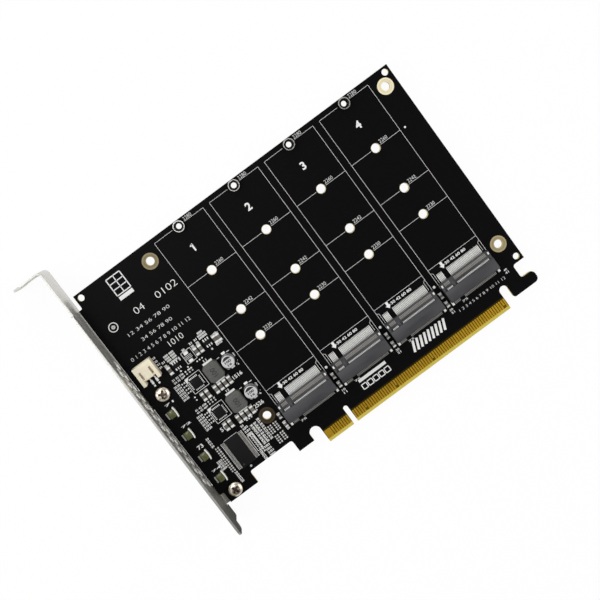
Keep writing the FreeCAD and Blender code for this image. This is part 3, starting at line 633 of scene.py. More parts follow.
def copies_tree():
    """Tree that sets one part on every point, each with its own size and turn."""
    tree = bpy.data.node_groups.new("placed_copies", "GeometryNodeTree")
    tree_socket(tree, "Places", "NodeSocketGeometry")
    tree_socket(tree, "Part", "NodeSocketObject")
    tree_socket(tree, "Material", "NodeSocketMaterial")
    tree_socket(tree, "Copies", "NodeSocketGeometry", "OUTPUT")
    given = add_node(tree, "NodeGroupInput")
    part = add_node(tree, "GeometryNodeObjectInfo", inputs={"Object": given.outputs["Part"]})
    size = add_node(tree, "GeometryNodeInputNamedAttribute", {"data_type": "FLOAT_VECTOR"}, {"Name": "size"})
    turn = add_node(tree, "GeometryNodeInputNamedAttribute", {"data_type": "FLOAT_VECTOR"}, {"Name": "turn"})
    rotation = add_node(tree, "FunctionNodeEulerToRotation", inputs={0: turn.outputs["Attribute"]})
    copies = add_node(tree, "GeometryNodeInstanceOnPoints", inputs={
        "Points": given.outputs["Places"], "Instance": part.outputs["Geometry"],
        "Rotation": rotation.outputs[0], "Scale": size.outputs["Attribute"]})
    real = add_node(tree, "GeometryNodeRealizeInstances", inputs={"Geometry": copies.outputs["Instances"]})
    finish = add_node(tree, "GeometryNodeSetMaterial", inputs={
        "Geometry": real.outputs["Geometry"], "Material": given.outputs["Material"]})
    add_node(tree, "NodeGroupOutput", inputs={"Copies": finish.outputs["Geometry"]})
    return tree


def row_tree():
    """Tree that repeats one part in an even row along X."""
    tree = bpy.data.node_groups.new("even_row", "GeometryNodeTree")
    tree_socket(tree, "Part", "NodeSocketGeometry")
    tree_socket(tree, "Count", "NodeSocketInt")
    tree_socket(tree, "Pitch", "NodeSocketFloat")
    tree_socket(tree, "Material", "NodeSocketMaterial")
    tree_socket(tree, "Row", "NodeSocketGeometry", "OUTPUT")
    given = add_node(tree, "NodeGroupInput")
    step = add_node(tree, "ShaderNodeCombineXYZ", inputs={"X": given.outputs["Pitch"]})
    line = add_node(tree, "GeometryNodeMeshLine", inputs={
        "Count": given.outputs["Count"], "Offset": step.outputs["Vector"]})
    copies = add_node(tree, "GeometryNodeInstanceOnPoints", inputs={
        "Points": line.outputs["Mesh"], "Instance": given.outputs["Part"]})
    real = add_node(tree, "GeometryNodeRealizeInstances", inputs={"Geometry": copies.outputs["Instances"]})
    finish = add_node(tree, "GeometryNodeSetMaterial", inputs={
        "Geometry": real.outputs["Geometry"], "Material": given.outputs["Material"]})
    add_node(tree, "NodeGroupOutput", inputs={"Row": finish.outputs["Geometry"]})
    return tree


TREES = {}


def run_tree(piece, tree, values):
    """Run a node tree on a piece with named input values, and leave a plain mesh."""
    modifier = piece.modifiers.new(tree.name, "NODES")
    modifier.node_group = tree
    for item in tree.interface.items_tree:
        if item.name in values:
            modifier[item.identifier] = values[item.name]
    piece.update_tag()
    return bake_modifiers(piece)


def copies(name, part, places, finish, slot, replaced=()):
    """One piece made of a part copied to every place, as spot() gives it; the part is used up."""
    mesh = bpy.data.meshes.new(name)
    mesh.from_pydata([place[0] for place in places], [], [])
    for label, kind, key, values in (
            ("size", "FLOAT_VECTOR", "vector", [place[1] for place in places]),
            ("turn", "FLOAT_VECTOR", "vector", [(0.0, 0.0, place[2]) for place in places]),
            ("tone", "FLOAT", "value", [place[3] for place in places])):
        attribute = mesh.attributes.new(label, kind, "POINT")
        for item, value in zip(attribute.data, values):
            setattr(item, key, value)
    piece = mesh_object(name, mesh)
    run_tree(piece, TREES["copies"], {"Part": part, "Material": FINISH[finish]})
    bpy.data.objects.remove(part)
    return finish_piece(piece, finish, replaced)


def unit_block(edge):
    """Unit cube with broken edges, standing on Z = 0."""
    form = bmesh.new()
    add_box(form, (-0.5, -0.5, 0.0), (0.5, 0.5, 1.0))
    bmesh.ops.bevel(form, geom=list(form.edges), offset=edge, segments=1, affect="EDGES")
    return bmesh_object("block", form)


def unit_fillet():
    """Solder fillet of unit reach, width and height that falls away along +X in a hollow curve."""
    form = bmesh.new()
    profile = [(0.0, 0.0), (1.0, 0.0), (1.0, 0.06), (0.62, 0.14), (0.3, 0.38), (0.0, 0.85)]
    near, far = [[form.verts.new((x, y, z)) for x, z in profile] for y in (-0.5, 0.5)]
    close_prism(form, far, near)
    bmesh.ops.recalc_face_normals(form, faces=form.faces)
    return bmesh_object("fillet", form)


def washer(inner_mm, outer_mm, thick_mm, steps):
    """Flat ring about Z, with unit sizes for millimetres, standing on Z = 0."""
    profile = [(inner_mm, 0.0), (outer_mm, 0.0), (outer_mm, thick_mm), (inner_mm, thick_mm)]
    return turned_object("washer", profile, steps)


def unit_via():
    """Plated via of unit diameter: a low ring round a shallow dimple."""
    profile = [(0.0, 0.0), (0.5, 0.0), (0.5, 0.6), (0.4, 1.0), (0.26, 1.0), (0.16, 0.4), (0.0, 0.4)]
    return turned_object("via", profile, 10)


def spot(x, y, z=0.0, size=(MM, MM, MM), turn=0.0, tone=0.5):
    """Place of one copy: its centre, size, turn about Z and tone."""
    return (x, y, z), size, turn, tone


def in_mm(*sizes):
    """Sizes in millimetres as metres."""
    return tuple(size * MM for size in sizes)


def box_spot(low, high):
    """Place of a block that fills a box."""
    return spot((low.x + high.x) / 2, (low.y + high.y) / 2, low.z, tuple(high - low))


def from_seat(across, up, slot=0):
    """Point on the board, in millimetres from a slot's centre line and the drives' seat."""
    return SLOTS[slot].x + across * MM, SLOTS[slot].y + up * MM


# ------------------------------------------------------------------ tables, in millimetres from a seat
# Digits: (digits, across, up, height, width)
BOARD_NUMBERS = (
    ("0102", -17.6, 64.6, 2.6, 9.3), ("04", -29.9, 64.6, 2.6, 4.2),
    ("12 34 56 78 90", -29.7, 58.9, 1.3, 18.6), ("34 56 78 90", -29.2, 54.7, 1.3, 13.6),
    ("0 1 2 3 4 5 6 7 8 9 10 11 12", -30.4, 50.8, 1.4, 26.8), ("1010", -26.0, 47.4, 2.3, 6.2),
    ("1 2 3 4 5 6 7 8 9 10 11 12", 75.4, -7.4, 1.0, 21.0),
)
PART_NUMBERS = (
    ("31 32 33", -34.3, 35.6, 0.8, 4.4), ("34 35 36", -34.3, 34.4, 0.8, 4.4),
    ("41 42 43", -34.3, 21.5, 0.8, 4.4), ("44 45 46", -34.3, 20.4, 0.8, 4.4),
    ("1516", -15.8, 23.1, 1.5, 4.0), ("2526", -16.0, 9.6, 1.6, 4.1), ("11", -22.2, 34.7, 0.9, 1.3),
    ("12", -22.2, 20.7, 0.9, 1.3), ("888 888", -31.6, 44.6, 0.8, 4.4), ("888 888", -31.6, 43.6, 0.8, 4.4),
    ("888 888", -31.5, 42.6, 0.8, 4.2), ("88888", -31.5, 41.5, 0.8, 3.4), ("888", -17.5, 44.3, 0.8, 2.2),
    ("8", -12.4, 30.1, 1.6, 0.9), ("8", -12.4, 16.1, 1.6, 0.9),
    ("88888", -17.4, 43.3, 0.8, 3.6), ("88888", -17.4, 42.3, 0.8, 3.6), ("88", -14.0, 36.9, 1.2, 2.7),
    ("8", -31.6, 36.8, 0.7, 0.7), ("8", -17.4, 36.5, 0.8, 0.7), ("8", -29.3, 40.9, 1.6, 0.6),
    ("71", -42.4, 29.6, 0.8, 3.9), ("72", -42.2, 19.5, 0.8, 4.1), ("73", -43.0, 9.7, 1.6, 2.4),
    ("74", -43.3, -0.7, 0.8, 3.8), ("51", -32.4, 10.0, 1.6, 1.8),
)
# Columns of two digits that stand beside a part and read up the card: (across, low, high, count)
NUMBER_COLUMNS = (
    (-37.0, 27.2, 33.0, 6), (-35.6, 27.2, 33.0, 6), (-37.0, 13.2, 19.0, 6), (-35.6, 13.2, 19.0, 6),
    (-39.3, 6.9, 10.4, 4), (-38.2, -10.2, -6.2, 5), (-36.8, 42.3, 46.6, 4), (-19.8, -3.6, 5.2, 9),
    (-21.5, -3.6, 4.6, 8), (-23.0, -3.6, 4.6, 8), (-12.6, -4.4, -1.6, 3),
    (-26.0, 2.6, 6.6, 4), (-24.9, 2.6, 5.4, 3), (-23.6, -8.8, -4.9, 4), (-22.4, -8.8, -4.9, 4),
    (-26.0, -8.6, -5.6, 4), (-25.2, -4.0, 1.4, 6), (-41.3, -2.3, 0.9, 4), (-40.2, -2.3, 0.9, 4),
    (-35.0, 41.6, 43.2, 2), (-26.3, 42.6, 43.6, 1), (-22.7, 41.7, 43.0, 2), (-20.5, 41.7, 43.0, 2),
    (-13.2, 37.8, 40.6, 4),
)
# Digits repeated at every slot, where # is its number: (digits, across, up, height, boldness, width)
SLOT_LABELS = (
    ("30 42 60 80", 0.4, 10.3, 1.1, 0.02, 9.2), ("75", -6.0, -5.3, 0.75, 0.01, 2.4),
    ("#0", 12.6, -5.2, 0.85, 0.01, 1.4), ("#1", 12.6, -6.4, 0.85, 0.01, 1.4),
)
COLUMN_DIGITS_FROM = 20
# Arrow that points at the key, as corners (across, up)
KEY_ARROW = ((-6.0, 11.7), (-6.0, 10.4), (-6.6, 10.4), (-5.5, 9.1), (-4.4, 10.4), (-5.0, 10.4), (-5.0, 11.7))
# Frames round the converters, the fan's fuse and the terminators: (low across, low up, high across, high up)
PART_FRAMES = (
    (-32.6, 26.7, -26.1, 33.3), (-32.6, 12.7, -26.1, 19.3), (-27.9, 37.2, -23.8, 42.0),
    (-26.7, -4.6, -24.4, 2.1),
)
# Write-on panel and check boxes: (low across, low up, high across, high up, line width)
PANEL_BOXES = (
    (-33.4, 72.9, -27.3, 80.0, 0.4),
    *((18.8 + 2.6 * box, -9.9, 20.8 + 2.6 * box, -7.9, 0.35) for box in range(5)),
)
# Bars in and over the write-on panel and check boxes, and the hatched panel: (across, up, across, up, width)
PANEL_BARS = (
    (-30.35, 72.9, -30.35, 80.0, 0.35), (-33.4, 75.3, -27.3, 75.3, 0.35), (-33.4, 77.65, -27.3, 77.65, 0.35),
    (-33.4, 71.5, -27.3, 71.5, 1.5), (18.8, -6.2, 31.2, -6.2, 1.2),
    *((42.4 + 1.75 * bar, -10.0, 44.1 + 1.75 * bar, -5.8, 0.95) for bar in range(9)),
)
# Small vias: (across, up, columns, rows, pitch), and single larger ones: (across, up, slot, diameter)
VIA_GROUPS = (
    (-24.6, 36.1, 3, 1, 1.1), (-23.2, 7.3, 3, 1, 1.1), (-33.4, 24.6, 1, 2, 1.2), (-19.0, 8.2, 2, 1, 1.1),
    (-28.6, 35.5, 1, 2, 1.0), (-13.0, 26.2, 1, 3, 1.3), (-13.0, 12.4, 1, 3, 1.3),
)
LARGE_VIAS = ((88.2, 59.8, 0, 0.8), (12.3, 5.5, 0, 1.1), (12.3, 5.5, 1, 1.1), (12.3, 5.5, 2, 1.1))
# Plate holes: the tone of each land, a painted reflection that leaves one land dark brown and the others
# paler, and its brighter rims as (name, inner radius, outer radius, lift)
LAND_REFLECTION_TONES = (0.03, 0.3, 0.5, 0.92)
LAND_RIMS = (("plate_land_edges", 2.55, 3.12, 0.2), ("plate_hole_rims", 1.61, 1.85, 0.3))


class CARD_OT_board(Operator):
    """Dress the bare board, its lands and its small plated holes"""
    bl_idname = "card.board"
    bl_label = "Board"

    def execute(self, context):
        parts = context.scene.card_parts
        steps = parts.lathe_steps
        dress_node("circuit_board", "board")
        centres = [(low + high) / 2 for low, high in solid_boxes("mounting_rings")]
        # Each land's tone is painted reflection, darkest on one land
        lands = [(centre.x, centre.y, tone) for centre, tone in zip(centres, LAND_REFLECTION_TONES)]
        copies("plate_lands", washer(1.6, 3.1, 0.035, steps), [spot(x, y, tone=tone) for x, y, tone in lands],
               "land", "ring", ["mounting_rings"])
        for name, inner, outer, lift in LAND_RIMS:
            copies(name, washer(inner, outer, 0.05, steps),
                   [spot(x, y, tone=tone + lift * (0.1 + tone)) for x, y, tone in lands], "land", "ring")
        back_thick = 0.05
        copies("solder_side_lands", washer(1.6, 3.15, back_thick, steps),
               [spot(x, y, BOARD_LOW.z - back_thick * MM, tone=0.6) for x, y, _ in lands], "land", "ring")
        holes = [place for name, place in MOUNTS.items() if name.startswith("hole_")]
        copies("drive_hole_rims", washer(1.66, 1.8, 0.03, steps),
               [spot(hole.x, hole.y, tone=0.85) for hole in holes], "land", "ring")
        copies("plated_vias", unit_via(), self.via_places(parts.via_diameter), "tin", "tin")
        return {"FINISHED"}

    def via_places(self, diameter):
        """Places of the small vias in their groups, and of the larger ones."""
        places = []
        for across, up, columns, rows, pitch in VIA_GROUPS:
            for column in range(columns):
                for row in range(rows):
                    centre = from_seat(across + column * pitch, up + row * pitch)
                    places.append(spot(*centre, size=(diameter, diameter, INK_HEIGHT)))
        for across, up, slot, width in LARGE_VIAS:
            places.append(spot(*from_seat(across, up, slot), size=(width * MM, width * MM, INK_HEIGHT)))
        return places


class CARD_OT_edge_contacts(Operator):
    """Plate the card-edge contacts on both faces"""
    bl_idname = "card.edge_contacts"
    bl_label = "Edge contacts"

    def execute(self, context):
        dress_node("contacts_component_side", "gold")
        dress_node("contacts_solder_side", "gold")
        return {"FINISHED"}


class CARD_OT_legend(Operator):
    """Print the slot frames, the plain numbers and the marks round the parts"""
    bl_idname = "card.legend"
    bl_label = "Printed legend"

    def execute(self, context):
        legend = context.scene.card_legend
        self.print_slot_frames(legend)
        self.print_numbers(legend)
        self.print_marks(legend)
        return {"FINISHED"}

    def print_slot_frames(self, legend):
        """Frame, cross lines at each drive length, and key arrow, repeated for every slot."""
        form = bmesh.new()
        width = legend.line_width
        left, right, foot = in_mm(-11.0, 11.1, 3.6)
        inner_left, inner_right = left + 0.9 * MM, right - 1.0 * MM
        top = DRIVE_LENGTHS[80] + 0.2 * MM
        standoff_gap, cross_y = in_mm(2.75, 11.8)
        for start, end in (((left, foot), (left, top)), ((right, foot), (right, top)),
                           ((inner_left, 5.5 * MM), (inner_left, 9.8 * MM)),
                           ((inner_right, 5.8 * MM), (inner_right, 9.3 * MM)),
                           ((inner_right, 9.2 * MM), (right, 10.0 * MM)),
                           ((inner_left, 9.7 * MM), (left, 10.4 * MM)),
                           ((left, cross_y), (right, cross_y))):
            add_stroke(form, start, end, width)
        for length, y in DRIVE_LENGTHS.items():
            gap, line_y = (standoff_gap, top) if length == 80 else (legend.hole_gap, y)
            add_stroke(form, (left, line_y), (-gap, line_y), width)
            add_stroke(form, (gap, line_y), (right, line_y), width)
        add_shape(form, [in_mm(*corner) for corner in KEY_ARROW])
        bmesh.ops.translate(form, verts=form.verts, vec=SLOTS[0] * Vector((1, 1, 0)))
        frames = bmesh_object("slot_frames", form)
        run_tree(frames, TREES["row"], {
            "Count": len(SLOTS), "Pitch": SLOTS[1].x - SLOTS[0].x, "Material": FINISH["ink"]})
        finish_piece(frames, "ink")

    def print_numbers(self, legend):
        """Slot numbers, drive lengths and rows of plain digits."""
        form = bmesh.new()
        for slot, seat in enumerate(SLOTS):
            centre = from_seat(-0.3, 70.7, slot)
            add_number(form, str(slot + 1), centre, legend.slot_number_height, 0.03)
            if slot == 0:
                self.add_flag_of_one(form, centre, legend.slot_number_height)
            for length, y in DRIVE_LENGTHS.items():
                x = seat.x + (4.5 if length == 80 else 4.1) * MM
                add_number(form, "22%d" % length, (x, seat.y + y + 1.15 * MM),
                           legend.length_number_height, -0.012, width=3.5 * MM)
            for digits, across, up, height, boldness, width in SLOT_LABELS:
                add_number(form, digits.replace("#", str(slot + 1)), from_seat(across, up, slot),
                           height * MM, boldness, width=width * MM)
        for rows, boldness in ((BOARD_NUMBERS, -0.015), (PART_NUMBERS, 0.015)):
            for digits, across, up, height, width in rows:
                add_number(form, digits, from_seat(across, up), height * MM, boldness, width=width * MM)
        for across, low, high, count in NUMBER_COLUMNS:
            pitch = (high - low) / max(count - 1, 1)
            for index in range(count):
                add_number(form, str(COLUMN_DIGITS_FROM + index), from_seat(across, low + index * pitch),
                           0.8 * MM, 0.03, width=1.25 * MM)
        finish_piece(bmesh_object("printed_numbers", form), "ink")

    def add_flag_of_one(self, form, centre, height):
        """Slanted flag at the head of a bold 1."""
        head = centre[1] + height * 0.44
        add_stroke(form, (centre[0] + 0.1 * MM, head), (centre[0] - 0.85 * MM, head - 0.65 * MM), 0.5 * MM)

    def print_marks(self, legend):
        """Part frames, polarity marks and plain blocks where a maker would print their own marks."""
        form = bmesh.new()
        thin = legend.part_line_width
        for low_x, low_y, high_x, high_y in PART_FRAMES:
            add_outline(form, from_seat(low_x, low_y), from_seat(high_x, high_y), thin)
        for low_x, low_y, high_x, high_y, width in PANEL_BOXES:
            add_outline(form, from_seat(low_x, low_y), from_seat(high_x, high_y), width * MM)
        for start_x, start_y, end_x, end_y, width in PANEL_BARS:
            add_stroke(form, from_seat(start_x, start_y), from_seat(end_x, end_y), width * MM)
        # Filled corner of each converter's frame, by its pin one
        for up in (33.3, 19.3):
            add_shape(form, [from_seat(-32.5, up), from_seat(-32.5, up - 1.9), from_seat(-30.9, up)])
        # Clock buffer: a bar at its head and the dot by pin one
        add_stroke(form, from_seat(-34.9, 6.0), from_seat(-28.9, 6.0), thin)
        add_dot(form, from_seat(-32.2, -7.5), 0.44 * MM)
        # Fan's fuse: three thin bars across its body
        for up in (39.0, 39.55, 40.1):
            add_stroke(form, from_seat(-27.6, up), from_seat(-24.6, up), thin * 0.8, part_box("fan_fuse")[1].z)
        # Can capacitors: two short arcs and two polarity bars round each
        for up in (29.75, 15.7):
            for start, end in ((225, 245), (295, 325)):
                add_arc(form, from_seat(-15.2, up), 3.55 * MM, start, end, thin, 8)
            for low, high in ((-14.1, -12.8), (-18.4, -17.3)):
                add_stroke(form, from_seat(low, up + 2.7), from_seat(high, up + 2.7), thin * 1.5)
        # Alignment target: a ring with a dot
        target = from_seat(-41.6, 64.6)
        add_arc(form, target, 1.7 * MM, 0, 360, 0.35 * MM, 32)
        add_dot(form, target, 0.8 * MM, 16)
        finish_piece(bmesh_object("printed_marks", form), "ink")


# What shows beside a socket's housing, in millimetres; a size is (length, height)
JAW_BELOW_SEAT = 0.45
SPRING_BACK, SPRING_SIZE = 1.05, (1.4, 0.1)             # back from a tail's foot
TIP_UP, TIP_Z, TIP_SIZE = 2.4, 3.62, (0.7, 0.28)        # forward of the seat
PAD_BACK, PAD_SIZE = 0.05, (2.9, 0.11)                  # solder under a tail
LUG_PAD_BACK, LUG_PAD_SIZE = 0.1, (1.5, 0.09)           # solder under a rear lug
REAR_TAIL_BACK, REAR_TAIL_LENGTH = 1.05, 1.3            # behind the housing
# Metal lugs at both ends of a socket, on its front arm and behind it: (across, up, z, size)
SOCKET_LUGS = ((10.5, 4.3, 3.36, (0.62, 1.0, 0.1)), (10.55, -4.0, 0.0, (0.6, 0.8, 0.2)))


class CARD_OT_sockets(Operator):
    """Mould the drive sockets and fit their springs, tails and solder"""
    bl_idname = "card.sockets"
    bl_label = "Drive sockets"

    def execute(self, context):
        sizes = context.scene.card_sockets
        springs, tips, tails, pads, lugs = [], [], [], [], []
        for number, seat in enumerate(SLOTS, 1):
            housing, contacts = "socket_%d_housing" % number, "socket_%d_contacts" % number
            softened_node(housing, "socket_%d_moulding" % number, sizes.edge_round, "socket")
            dress_node(contacts, "tin")
            jaw_z, rear_y = seat.z - JAW_BELOW_SEAT * MM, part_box(housing)[0].y
            for low, high in solid_boxes(contacts):
                x, middle_y, width = (low.x + high.x) / 2, (low.y + high.y) / 2, high.x - low.x
                if low.y > seat.y:
                    spring, pad = sizes.spring_width, sizes.pad_width
                    springs.append(spot(x, low.y - SPRING_BACK * MM, jaw_z, (spring, *in_mm(*SPRING_SIZE))))
                    tips.append(spot(x, seat.y + TIP_UP * MM, TIP_Z * MM, (spring, *in_mm(*TIP_SIZE))))
                    pads.append(spot(x, middle_y - PAD_BACK * MM, 0.0, (pad, *in_mm(*PAD_SIZE))))
                    tails.append(spot(x - sizes.tail_step, rear_y - REAR_TAIL_BACK * MM, 0.0,
                                      (width, REAR_TAIL_LENGTH * MM, high.z)))
                else:
                    pads.append(spot(x, middle_y - LUG_PAD_BACK * MM, 0.0,
                                     (max(width, sizes.pad_width), *in_mm(*LUG_PAD_SIZE))))
            for side in (-1, 1):
                for across, up, z, size in SOCKET_LUGS:
                    lugs.append(spot(seat.x + side * across * MM, seat.y + up * MM, z * MM, in_mm(*size)))
        copies("socket_springs", unit_block(0.12), springs, "spring", "tin")
        copies("socket_spring_tips", unit_block(0.12), tips, "tin", "tin")
        copies("socket_rear_tails", unit_block(0.1), tails, "dull_tin", "tin")
        copies("socket_solder", unit_block(0.14), pads, "tin", "tin")
        copies("socket_lugs", unit_block(0.14), lugs, "tin", "tin")
        return {"FINISHED"}


class CARD_OT_standoffs(Operator):
    """Turn the threaded standoffs"""
    bl_idname = "card.standoffs"
    bl_label = "Standoffs"

    def execute(self, context):
        # Foot in the board, flange, rim, dished top and counterbore, as (radius, z) in millimetres
        foot = BOARD_LOW.z / MM
        profile = [(1.65, foot), (1.65, 0.0), (2.2, 0.0), (2.2, 2.4), (2.12, 2.5), (1.88, 2.5), (1.8, 2.4),
                   (1.78, 1.0), (1.36, 1.0), (1.26, 0.9)]
        thread_top, thread_pitch, core, crest = 0.7, 0.27, 1.06, 1.22
        for turn in range(8):
            z = thread_top - turn * thread_pitch
            profile += [(core, z), (core, z - 0.05), (crest, z - 0.14)]
        profile.append((1.24, foot))
        turned = turned_object("standoff", profile, context.scene.card_parts.lathe_steps)
        places = [spot(place.x, place.y) for name, place in MOUNTS.items()
                  if name.startswith("standoff_thread")]
        piece = copies("turned_standoffs", turned, places, "standoff", "standoff",
                       ["standoff_%d" % number for number in (1, 2, 3, 4)])
        smooth_by_angle(piece)
        return {"FINISHED"}


class CARD_OT_bracket(Operator):
    """Fold the vented steel bracket"""
    bl_idname = "card.bracket"
    bl_label = "Bracket"

    def execute(self, context):
        softened_node("bracket", "folded_bracket", 0.09 * MM, "bracket")
        return {"FINISHED"}


class CARD_OT_screws(Operator):
    """Head the two bracket screws and sink their cross recesses"""
    bl_idname = "card.screws"
    bl_label = "Bracket screws"

    def execute(self, context):
        steps = context.scene.card_parts.lathe_steps
        for name, turn in (("lower", 24.0), ("upper", 61.0)):
            node = "bracket_screw_" + name
            low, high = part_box(node)
            centre = Vector(((low.x + high.x) / 2, (low.y + high.y) / 2, 0.0))
            head, height = (high.x - low.x) / 2, high.z
            shank, chamfer, brim, flat_share = 1.5 * MM, 0.3 * MM, 0.75 * MM, 0.42
            profile = [(0.0, low.z), (shank - chamfer, low.z), (shank, low.z + chamfer), (shank, 0.0),
                       (head - 0.08 * MM, 0.0), (head, 0.1 * MM), (head, brim)]
            for step in range(1, 9):
                angle = math.radians(90 * step / 8)
                profile.append((head * (flat_share + (1 - flat_share) * math.cos(angle)),
                                brim + (height - brim) * math.sin(angle)))
            profile.append((0.0, height))
            screw = turned_object("headed_screw_" + name, profile, steps, centre)
            cutter = self.cross_cutter(centre, height, math.radians(turn))
            cut = screw.modifiers.new("recess", "BOOLEAN")
            cut.operation, cut.object, cut.solver = "DIFFERENCE", cutter, "EXACT"
            bake_modifiers(screw)
            bpy.data.objects.remove(cutter)
            smooth_by_angle(screw, 30.0)
            finish_piece(screw, "screw", [node])
        return {"FINISHED"}

    def cross_cutter(self, centre, height, turn):
        """Tapered cross that stands out of the head's top."""
        form = bmesh.new()
        long_half, short_half, depth = 1.75 * MM, 0.5 * MM, 1.35 * MM
        outline = [(long_half, -short_half), (long_half, short_half), (short_half, short_half),
                   (short_half, long_half), (-short_half, long_half), (-short_half, short_half),
                   (-long_half, short_half), (-long_half, -short_half), (-short_half, -short_half),
                   (-short_half, -long_half), (short_half, -long_half), (short_half, -short_half)]
        rings = []
        floor_share, above = 0.55, 0.2 * MM
        for z, share in ((height - depth, floor_share), (height + above, 1.0)):
            rings.append([form.verts.new((x * share, y * share, z)) for x, y in outline])
        close_prism(form, *rings)
        bmesh.ops.recalc_face_normals(form, faces=form.faces)
        bmesh.ops.rotate(form, verts=form.verts, matrix=Matrix.Rotation(turn, 3, "Z"))
        bmesh.ops.translate(form, verts=form.verts, vec=centre)
        return bmesh_object("cutter", form)


class CARD_OT_fan_connector(Operator):
    """Mould the fan connector and solder its pins"""
    bl_idname = "card.fan_connector"
    bl_label = "Fan connector"

    def execute(self, context):
        softened_node("fan_connector_housing", "fan_connector_moulding", 0.16 * MM, "nylon",
                      3)
        dress_node("fan_connector_pins", "tin")
        low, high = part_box("fan_connector_pins")
        pin_half = 0.25 * MM
        places = []
        for x in (low.x + pin_half, high.x - pin_half):
            places.append(spot(x, low.y + 0.75 * MM, 0.0, in_mm(0.9, 1.9, 0.3)))
            places.append(spot(x, low.y - 0.85 * MM, 0.0, in_mm(0.8, 0.7, 0.12)))
        copies("fan_connector_solder", unit_block(0.2), places, "tin", "tin")
        return {"FINISHED"}


class CARD_OT_packages(Operator):
    """Mould the black packages, dress their leads and solder them down"""
    bl_idname = "card.packages"
    bl_label = "Moulded packages"

    def execute(self, context):
        width = context.scene.card_parts.package_round
        softened_node("clock_buffer_body", "clock_buffer_moulding", width, "epoxy")
        softened_node("monitor_chip_bodies", "monitor_chip_mouldings", width, "epoxy")
        for number in (1, 2):
            softened_node("converter_%d" % number, "converter_%d_moulding" % number, width * 0.6,
                          "epoxy")
        dress_node("clock_buffer_leads", "dull_tin")
        dress_node("monitor_chip_leads", "tin")
        dress_node("power_terminals", "tin")
        converters = [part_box("converter_%d" % number) for number in (1, 2)]
        solder_beyond, solder_beside, solder_high = in_mm(0.3, 0.02, 0.07)
        pads = []
        for node in ("clock_buffer_leads", "monitor_chip_leads"):
            for low, high in solid_boxes(node):
                grow = Vector((solder_beside, solder_beyond, 0.0))
                if high.x - low.x > high.y - low.y:
                    grow = grow.yxz
                pads.append(box_spot(Vector((low.x, low.y, 0.0)) - grow,
                                     Vector((high.x, high.y, solder_high)) + grow))
        for box in converters:
            pads += self.converter_pads(box)
        copies("lead_solder", unit_block(0.1), pads, "tin", "tin")
        marks = bmesh.new()
        sunk = 0.005 * MM
        low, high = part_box("clock_buffer_body")
        add_dot(marks, (low.x + 1.1 * MM, low.y + 1.2 * MM), 0.4 * MM, 16, high.z - sunk)
        for low, high in converters:
            add_dot(marks, (low.x + 0.7 * MM, high.y - 0.7 * MM), 0.24 * MM, 12, high.z - sunk)
        finish_piece(bmesh_object("pin_one_marks", marks), "grey_mark")
        return {"FINISHED"}

    def converter_pads(self, box):
        """Wettable pads that show round a leadless package, six to a side."""
        low, high = box
        middle, half = (low + high) / 2, (high.x - low.x) / 2
        centre, end_gap = half + 0.2 * MM, 0.45 * MM
        reach, width, thick = in_mm(0.8, 0.36, 0.14)
        places = []
        for index in range(6):
            along = (half - end_gap) * (2 * index / 5 - 1)
            for side in (-1, 1):
                places.append(spot(middle.x + side * centre, middle.y + along, 0.0, (reach, width, thick)))
                places.append(spot(middle.x + along, middle.y + side * centre, 0.0, (width, reach, thick)))
        return places


class CARD_OT_power_parts(Operator):
    """Press the inductors and draw the can capacitors"""
    bl_idname = "card.power_parts"
    bl_label = "Power parts"

    def execute(self, context):
        steps = context.scene.card_parts.lathe_steps
        dark, black = bmesh.new(), bmesh.new()
        for number in (1, 2):
            softened_node("inductor_%d" % number, "pressed_inductor_%d" % number, 0.22 * MM,
                          "powder", 3)
            low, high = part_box("inductor_%d" % number)
            middle = (low + high) / 2
            add_number(dark, "100", (middle.x, middle.y - 0.2 * MM), 2.1 * MM, 0.03,
                       high.z - 0.01 * MM, 90.0, 3.3 * MM)
            softened_node("can_capacitor_base_%d" % number, "can_foot_%d" % number, 0.08 * MM,
                          "epoxy")
            self.draw_can(number, steps, black)
        finish_piece(bmesh_object("inductor_marks", dark), "grey_mark")
        finish_piece(bmesh_object("can_marks", black), "black_ink")
        return {"FINISHED"}

    def draw_can(self, number, steps, ink):
        """Beaded can with a rounded rim and a sunk top, stamped with a dark segment and plain numbers."""
        node = "can_capacitor_%d" % number
        low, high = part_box(node)
        centre = Vector(((low.x + high.x) / 2, (low.y + high.y) / 2, 0.0))
        radius, top = (high.x - low.x) / 2, high.z
        bead_low, bead_high, bead_deep, rim, sunk = in_mm(0.6, 0.7, 0.26, 0.34, 0.05)
        profile = [(0.0, low.z), (radius - 0.05 * MM, low.z), (radius, low.z + 0.1 * MM),
                   (radius, low.z + bead_low)]
        for step in range(1, 6):
            profile.append((radius - bead_deep * math.sin(math.pi * step / 6),
                            low.z + bead_low + bead_high * step / 6))
        profile.append((radius, low.z + bead_low + bead_high))
        for step in range(6):
            angle = math.radians(90 * step / 5)
            profile.append((radius - rim + rim * math.cos(angle), top - rim + rim * math.sin(angle)))
        profile += [(radius - rim - 0.06 * MM, top - sunk), (0.0, top - sunk)]
        can = turned_object("drawn_can_%d" % number, profile, steps, centre)
        smooth_by_angle(can, 30.0)
        finish_piece(can, "can", [node])
        flat, chord = radius - rim - 0.08 * MM, 0.95 * MM
        start = math.asin(chord / flat)
        angles = [start + (math.pi - 2 * start) * step / 20 for step in range(21)]
        add_shape(ink, [(centre.x + flat * math.cos(angle), centre.y + flat * math.sin(angle))
                        for angle in angles], top - 0.06 * MM)
        for digits, up, digit_high, digit_wide in (("100", 0.1, 0.95, 2.6), ("16", -1.15, 0.9, 1.7)):
            add_number(ink, digits, (centre.x, centre.y + up * MM), digit_high * MM, 0.04,
                       top - 0.07 * MM, width=digit_wide * MM)


